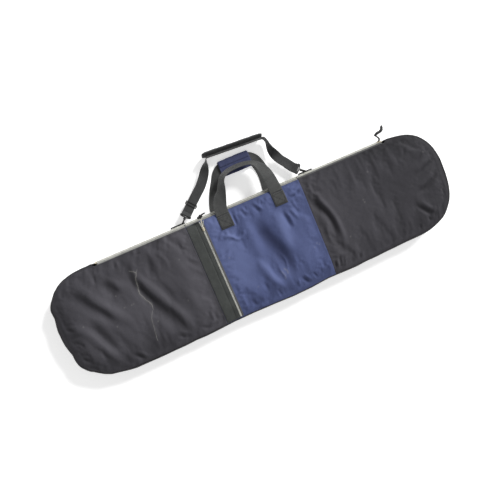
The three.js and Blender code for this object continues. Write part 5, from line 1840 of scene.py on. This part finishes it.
def shoulder_strap():
    bag = Bag()
    bag.add(*ribbon(STRAP_ROWS, STRAP_W, 2.0, cup=0.6, ripple=0.4, seed=151))
    bag.add(*end_loop(LEFT, 13))
    bag.add(*end_loop(RIGHT, 34))
    bag.make("shoulder_strap_webbing", "strap", "strap", "strap_webbing")
    threads = Bag()
    for end in (LEFT, RIGHT):
        wide = unit(end.wide)
        for s in (9, 12):
            centre = end.at(end.start + s) + end.normal * 1.1
            path = resample([centre - wide * 16, centre + wide * 16], 3.0)
            stitch_line(threads, path, end.normal, **SMALL_STITCH)
    threads.make("strap_end_stitching", "thread", "strap")


def ladder_slide():
    """Frame with a middle bar, side blocks and two lower bars, near the strap's left end."""
    middle = LEFT.at(34)
    wide = unit(LEFT.wide)
    normal = unit(np.cross(LEFT.along, wide))

    def at(p, out, up):
        return middle + LEFT.along * p + wide * out + normal * up

    bag = Bag()
    corners = [at(-6.0, -21.8, 2.7), at(-6.0, 21.8, 2.7), at(6.0, 21.8, 2.7),
               at(6.0, -21.8, 2.7)]
    bag.add(*tube(rounded_path(corners, 2.5, 5), 1.3, 10, closed=True))
    bag.add(*tube([at(0, -21.5, 2.9), at(0, 0, 3.1), at(0, 21.5, 2.9)], 1.5, 10, step=3))
    for sign in (-1, 1):
        bag.add(*loft([[at(p, sign * 21.8 + 1.7 * k * squared(math.cos(q), 0.6),
                           3.3 * k * squared(math.sin(q), 0.6)) for q in turn(16)]
                       for p, k in ((-7, 0.75), (-6.2, 1.0), (6.2, 1.0), (7, 0.75))]))
    for p in (-5.6, 5.6):
        bag.add(*tube([at(p, -21.5, -2.7), at(p, 21.5, -2.7)], 1.2, 10, step=3))
    bag.make("ladder_slide", "plastic", "strap_adjuster", "strap_adjuster", sharp=45)


shoulder_strap()
ladder_slide()

# ---------------------------------------------------------------- shoulder pad
PAD_THICK, PAD_HALF_H, PAD_HALF_L = 8.6, 28, 122.0      # the first is half its thickness
PAD_ALONG = unit([1, STRAP_SLOPE, 0])
PAD_ACROSS = np.array([-PAD_ALONG[1], PAD_ALONG[0], 0])
PAD_CENTRE = np.array([STRAP_X, STRAP_Y + 1.5 + PAD_THICK, STRAP_Z])


def pad_end(s):
    """How far s (-1 to 1 along the pad) is from its rounded end, and the height there."""
    inward = np.clip((1 - abs(s)) / 0.12, 0, 1)
    return inward, 0.62 + 0.38 * np.sqrt(1 - (1 - inward) ** 2)


def shoulder_pad():
    w = turn(44)
    q, t = squared(np.sin(w), 0.72), squared(np.cos(w), 0.55)
    channel = -0.8 * bell(np.abs(q), 0.78, 0.07)
    rings, uvs = [], []
    for s in np.linspace(-1, 1, 90):
        inward, tall = pad_end(s)
        thick = PAD_THICK * (0.72 + 0.28 * smooth(inward))
        wobble = (0.7 * vnoise(s * 118.0, q * 28, scale=17, seed=162)
                  + 0.4 * vnoise(s * 118.0, q * 28, scale=8, seed=163))
        rings.append(PAD_CENTRE + PAD_ALONG * (s * PAD_HALF_L)
                     + np.outer(t * (thick + wobble + channel - 0.6), PAD_ACROSS)
                     + np.outer(q * PAD_HALF_H * tall, [0, 0, 1]))
        v = q * PAD_HALF_H + np.where(t > 0, 0, 80)
        uvs.append(np.stack([np.full(len(w), s * PAD_HALF_L), v], 1))
    uv = np.vstack(uvs + [np.zeros((2, 2))])
    edge = np.concatenate([np.tile(np.abs(q) ** 8, len(rings)), [0, 0]])
    piece("shoulder_pad_body", (*loft(rings), uv), "pad", "shoulder_pad", "shoulder_pad",
          edge=edge)


def pad_binding():
    """Binding round the pad's edge, along its top and back along its bottom."""
    stations = np.linspace(-0.985, 0.985, 60)
    path = [PAD_CENTRE + PAD_ALONG * (s * PAD_HALF_L)
            + np.array([0, 0, way * PAD_HALF_H * pad_end(s)[1]])
            for way, row in ((1, stations), (-1, stations[::-1])) for s in row]
    piece("shoulder_pad_binding", tube(path, 2.6, 12, closed=True), "strap", "shoulder_pad",
          edge=0.0)


shoulder_pad()
pad_binding()


# ---------------------------------------------------------------- pale snag across the pocket
def snag(points, radius, seed):
    curve = catmull(points, 3.0)
    t = np.arange(len(curve)) * 3.0
    x = curve[:, 0] + 0.9 * vnoise(t, 0.0, scale=9, seed=seed)
    y = curve[:, 1] + 0.9 * vnoise(t, 5.0, scale=9, seed=seed + 1)
    path = np.stack([x, y, pocket_top(x, y) + 0.05], 1)
    return tube(path, radius * (0.75 + 0.35 * vnoise(t, 2.0, scale=14, seed=seed + 2)), 8)


def pocket_snag():
    bag = Bag()
    side_branch = [(-484, 126), (-474, 119), (-468, 118), (-460, 109), (-452, 120)]
    bag.add(*snag(SCUFF[1:9], 0.62, seed=201))
    bag.add(*snag(side_branch, 0.5, seed=205))
    bag.add(*snag(SCUFF[8:], 0.34, seed=208))
    bag.make("pocket_surface_snag", "lint", "tail")


# ---------------------------------------------------------------- topstitching
def topstitching():
    y = ZIP_EDGE_Y - 4.2
    threads = Bag()
    surface_stitches(threads, front, [(TAIL_SEAM + 60, y), (NOSE_SEAM - 2, y)], **TOPSTITCH)
    threads.make("centre_topstitching", "thread_navy", "mouth")
    threads = Bag()
    surface_stitches(threads, front, [(NOSE_SEAM + 3, y), (600, y)], **TOPSTITCH)
    x = NOSE_SEAM + 3.2
    surface_stitches(threads, front, [(x, -196), (x, ZIP_EDGE_Y - 6)], **TOPSTITCH)
    threads.make("nose_topstitching", "thread", "nose")
    threads = Bag()
    surface_stitches(threads, pocket_top, [(-236.2, -194), (-236.2, ZIP_EDGE_Y - 3)],
                     width=0.9, height=0.9, **TOPSTITCH)
    y = ZIP_EDGE_Y - 4.6
    surface_stitches(threads, pocket_top, [(-585, y), (-238, y)], **TOPSTITCH)
    threads.make("pocket_topstitching", "thread", "tail")


def band_stitching():
    threads = Bag()
    y = np.linspace(-195, ZIP_EDGE_Y - 3, 150)
    for column, sink in ((-227.5, 0.25), (-193.5, 0.75), (-183.2, 0.0)):
        x = np.full_like(y, column)
        path = np.stack([x, y, band_top(x, y) - sink + 0.1], 1)
        stitch_line(threads, path, (0, 0, 1), **BAND_STITCH)
    threads.make("band_stitching", "thread", "mouth")


pocket_snag()
topstitching()
band_stitching()


# ---------------------------------------------------------------- stage
def pale_floor(s):
    shade = s.noise(s.coords(), scale=3.0, detail=3.0)
    s.surface({"Base Color": s.mix(shade, (0.93, 0.93, 0.925), (0.95, 0.95, 0.95)),
               "Roughness": 0.9, "Specular IOR Level": 0.1,
               "Emission Color": (1, 1, 1), "Emission Strength": 0.5})


def sun(name, direction, strength, angle):
    """Sunlight from a direction; angle in degrees sets how soft its shadows are."""
    light = bpy.data.lights.new(name, "SUN")
    light.energy = strength
    light.angle = math.radians(angle)
    obj = bpy.data.objects.new(name, light)
    bpy.context.scene.collection.objects.link(obj)
    obj.rotation_euler = Vector(direction).to_track_quat("Z", "Y").to_euler()


bpy.ops.mesh.primitive_plane_add(size=14, location=(0, 0, -0.0005))      # metres
floor = bpy.context.object
floor.name = "floor"
floor.data.materials.append(make_material("floor_pale", pale_floor))

world = bpy.data.worlds.new("studio")
bpy.context.scene.world = world
world.use_nodes = True
background = world.node_tree.nodes["Background"]
background.inputs["Color"].default_value = (1.0, 1.0, 1.0, 1)
background.inputs["Strength"].default_value = 0.30

sun("key", direction=(0.80, 0.46, 0.62), strength=3.6, angle=16)
sun("fill", direction=(-0.5, -0.7, 1.2), strength=0.35, angle=60)

# ---------------------------------------------------------------- camera
CAMERA_AT = Vector((-278.296154, 3.900426, 2006.21163))
CAMERA_TURN = Vector((0.032142, -0.116607, -0.413894))      # axis times angle in radians
camera = bpy.data.cameras.new("camera")
camera_object = bpy.data.objects.new("camera", camera)
bpy.context.scene.collection.objects.link(camera_object)
camera_object.matrix_world = (Matrix.Translation(CAMERA_AT * MM)
                              @ Matrix.Rotation(CAMERA_TURN.length, 4,
                                                CAMERA_TURN.normalized()))
camera.sensor_width = 36.0
camera.lens = 37.5
camera.clip_start, camera.clip_end = 0.05, 60      # metres
bpy.context.scene.camera = camera_object
bpy.context.scene.view_settings.view_transform = "Standard"
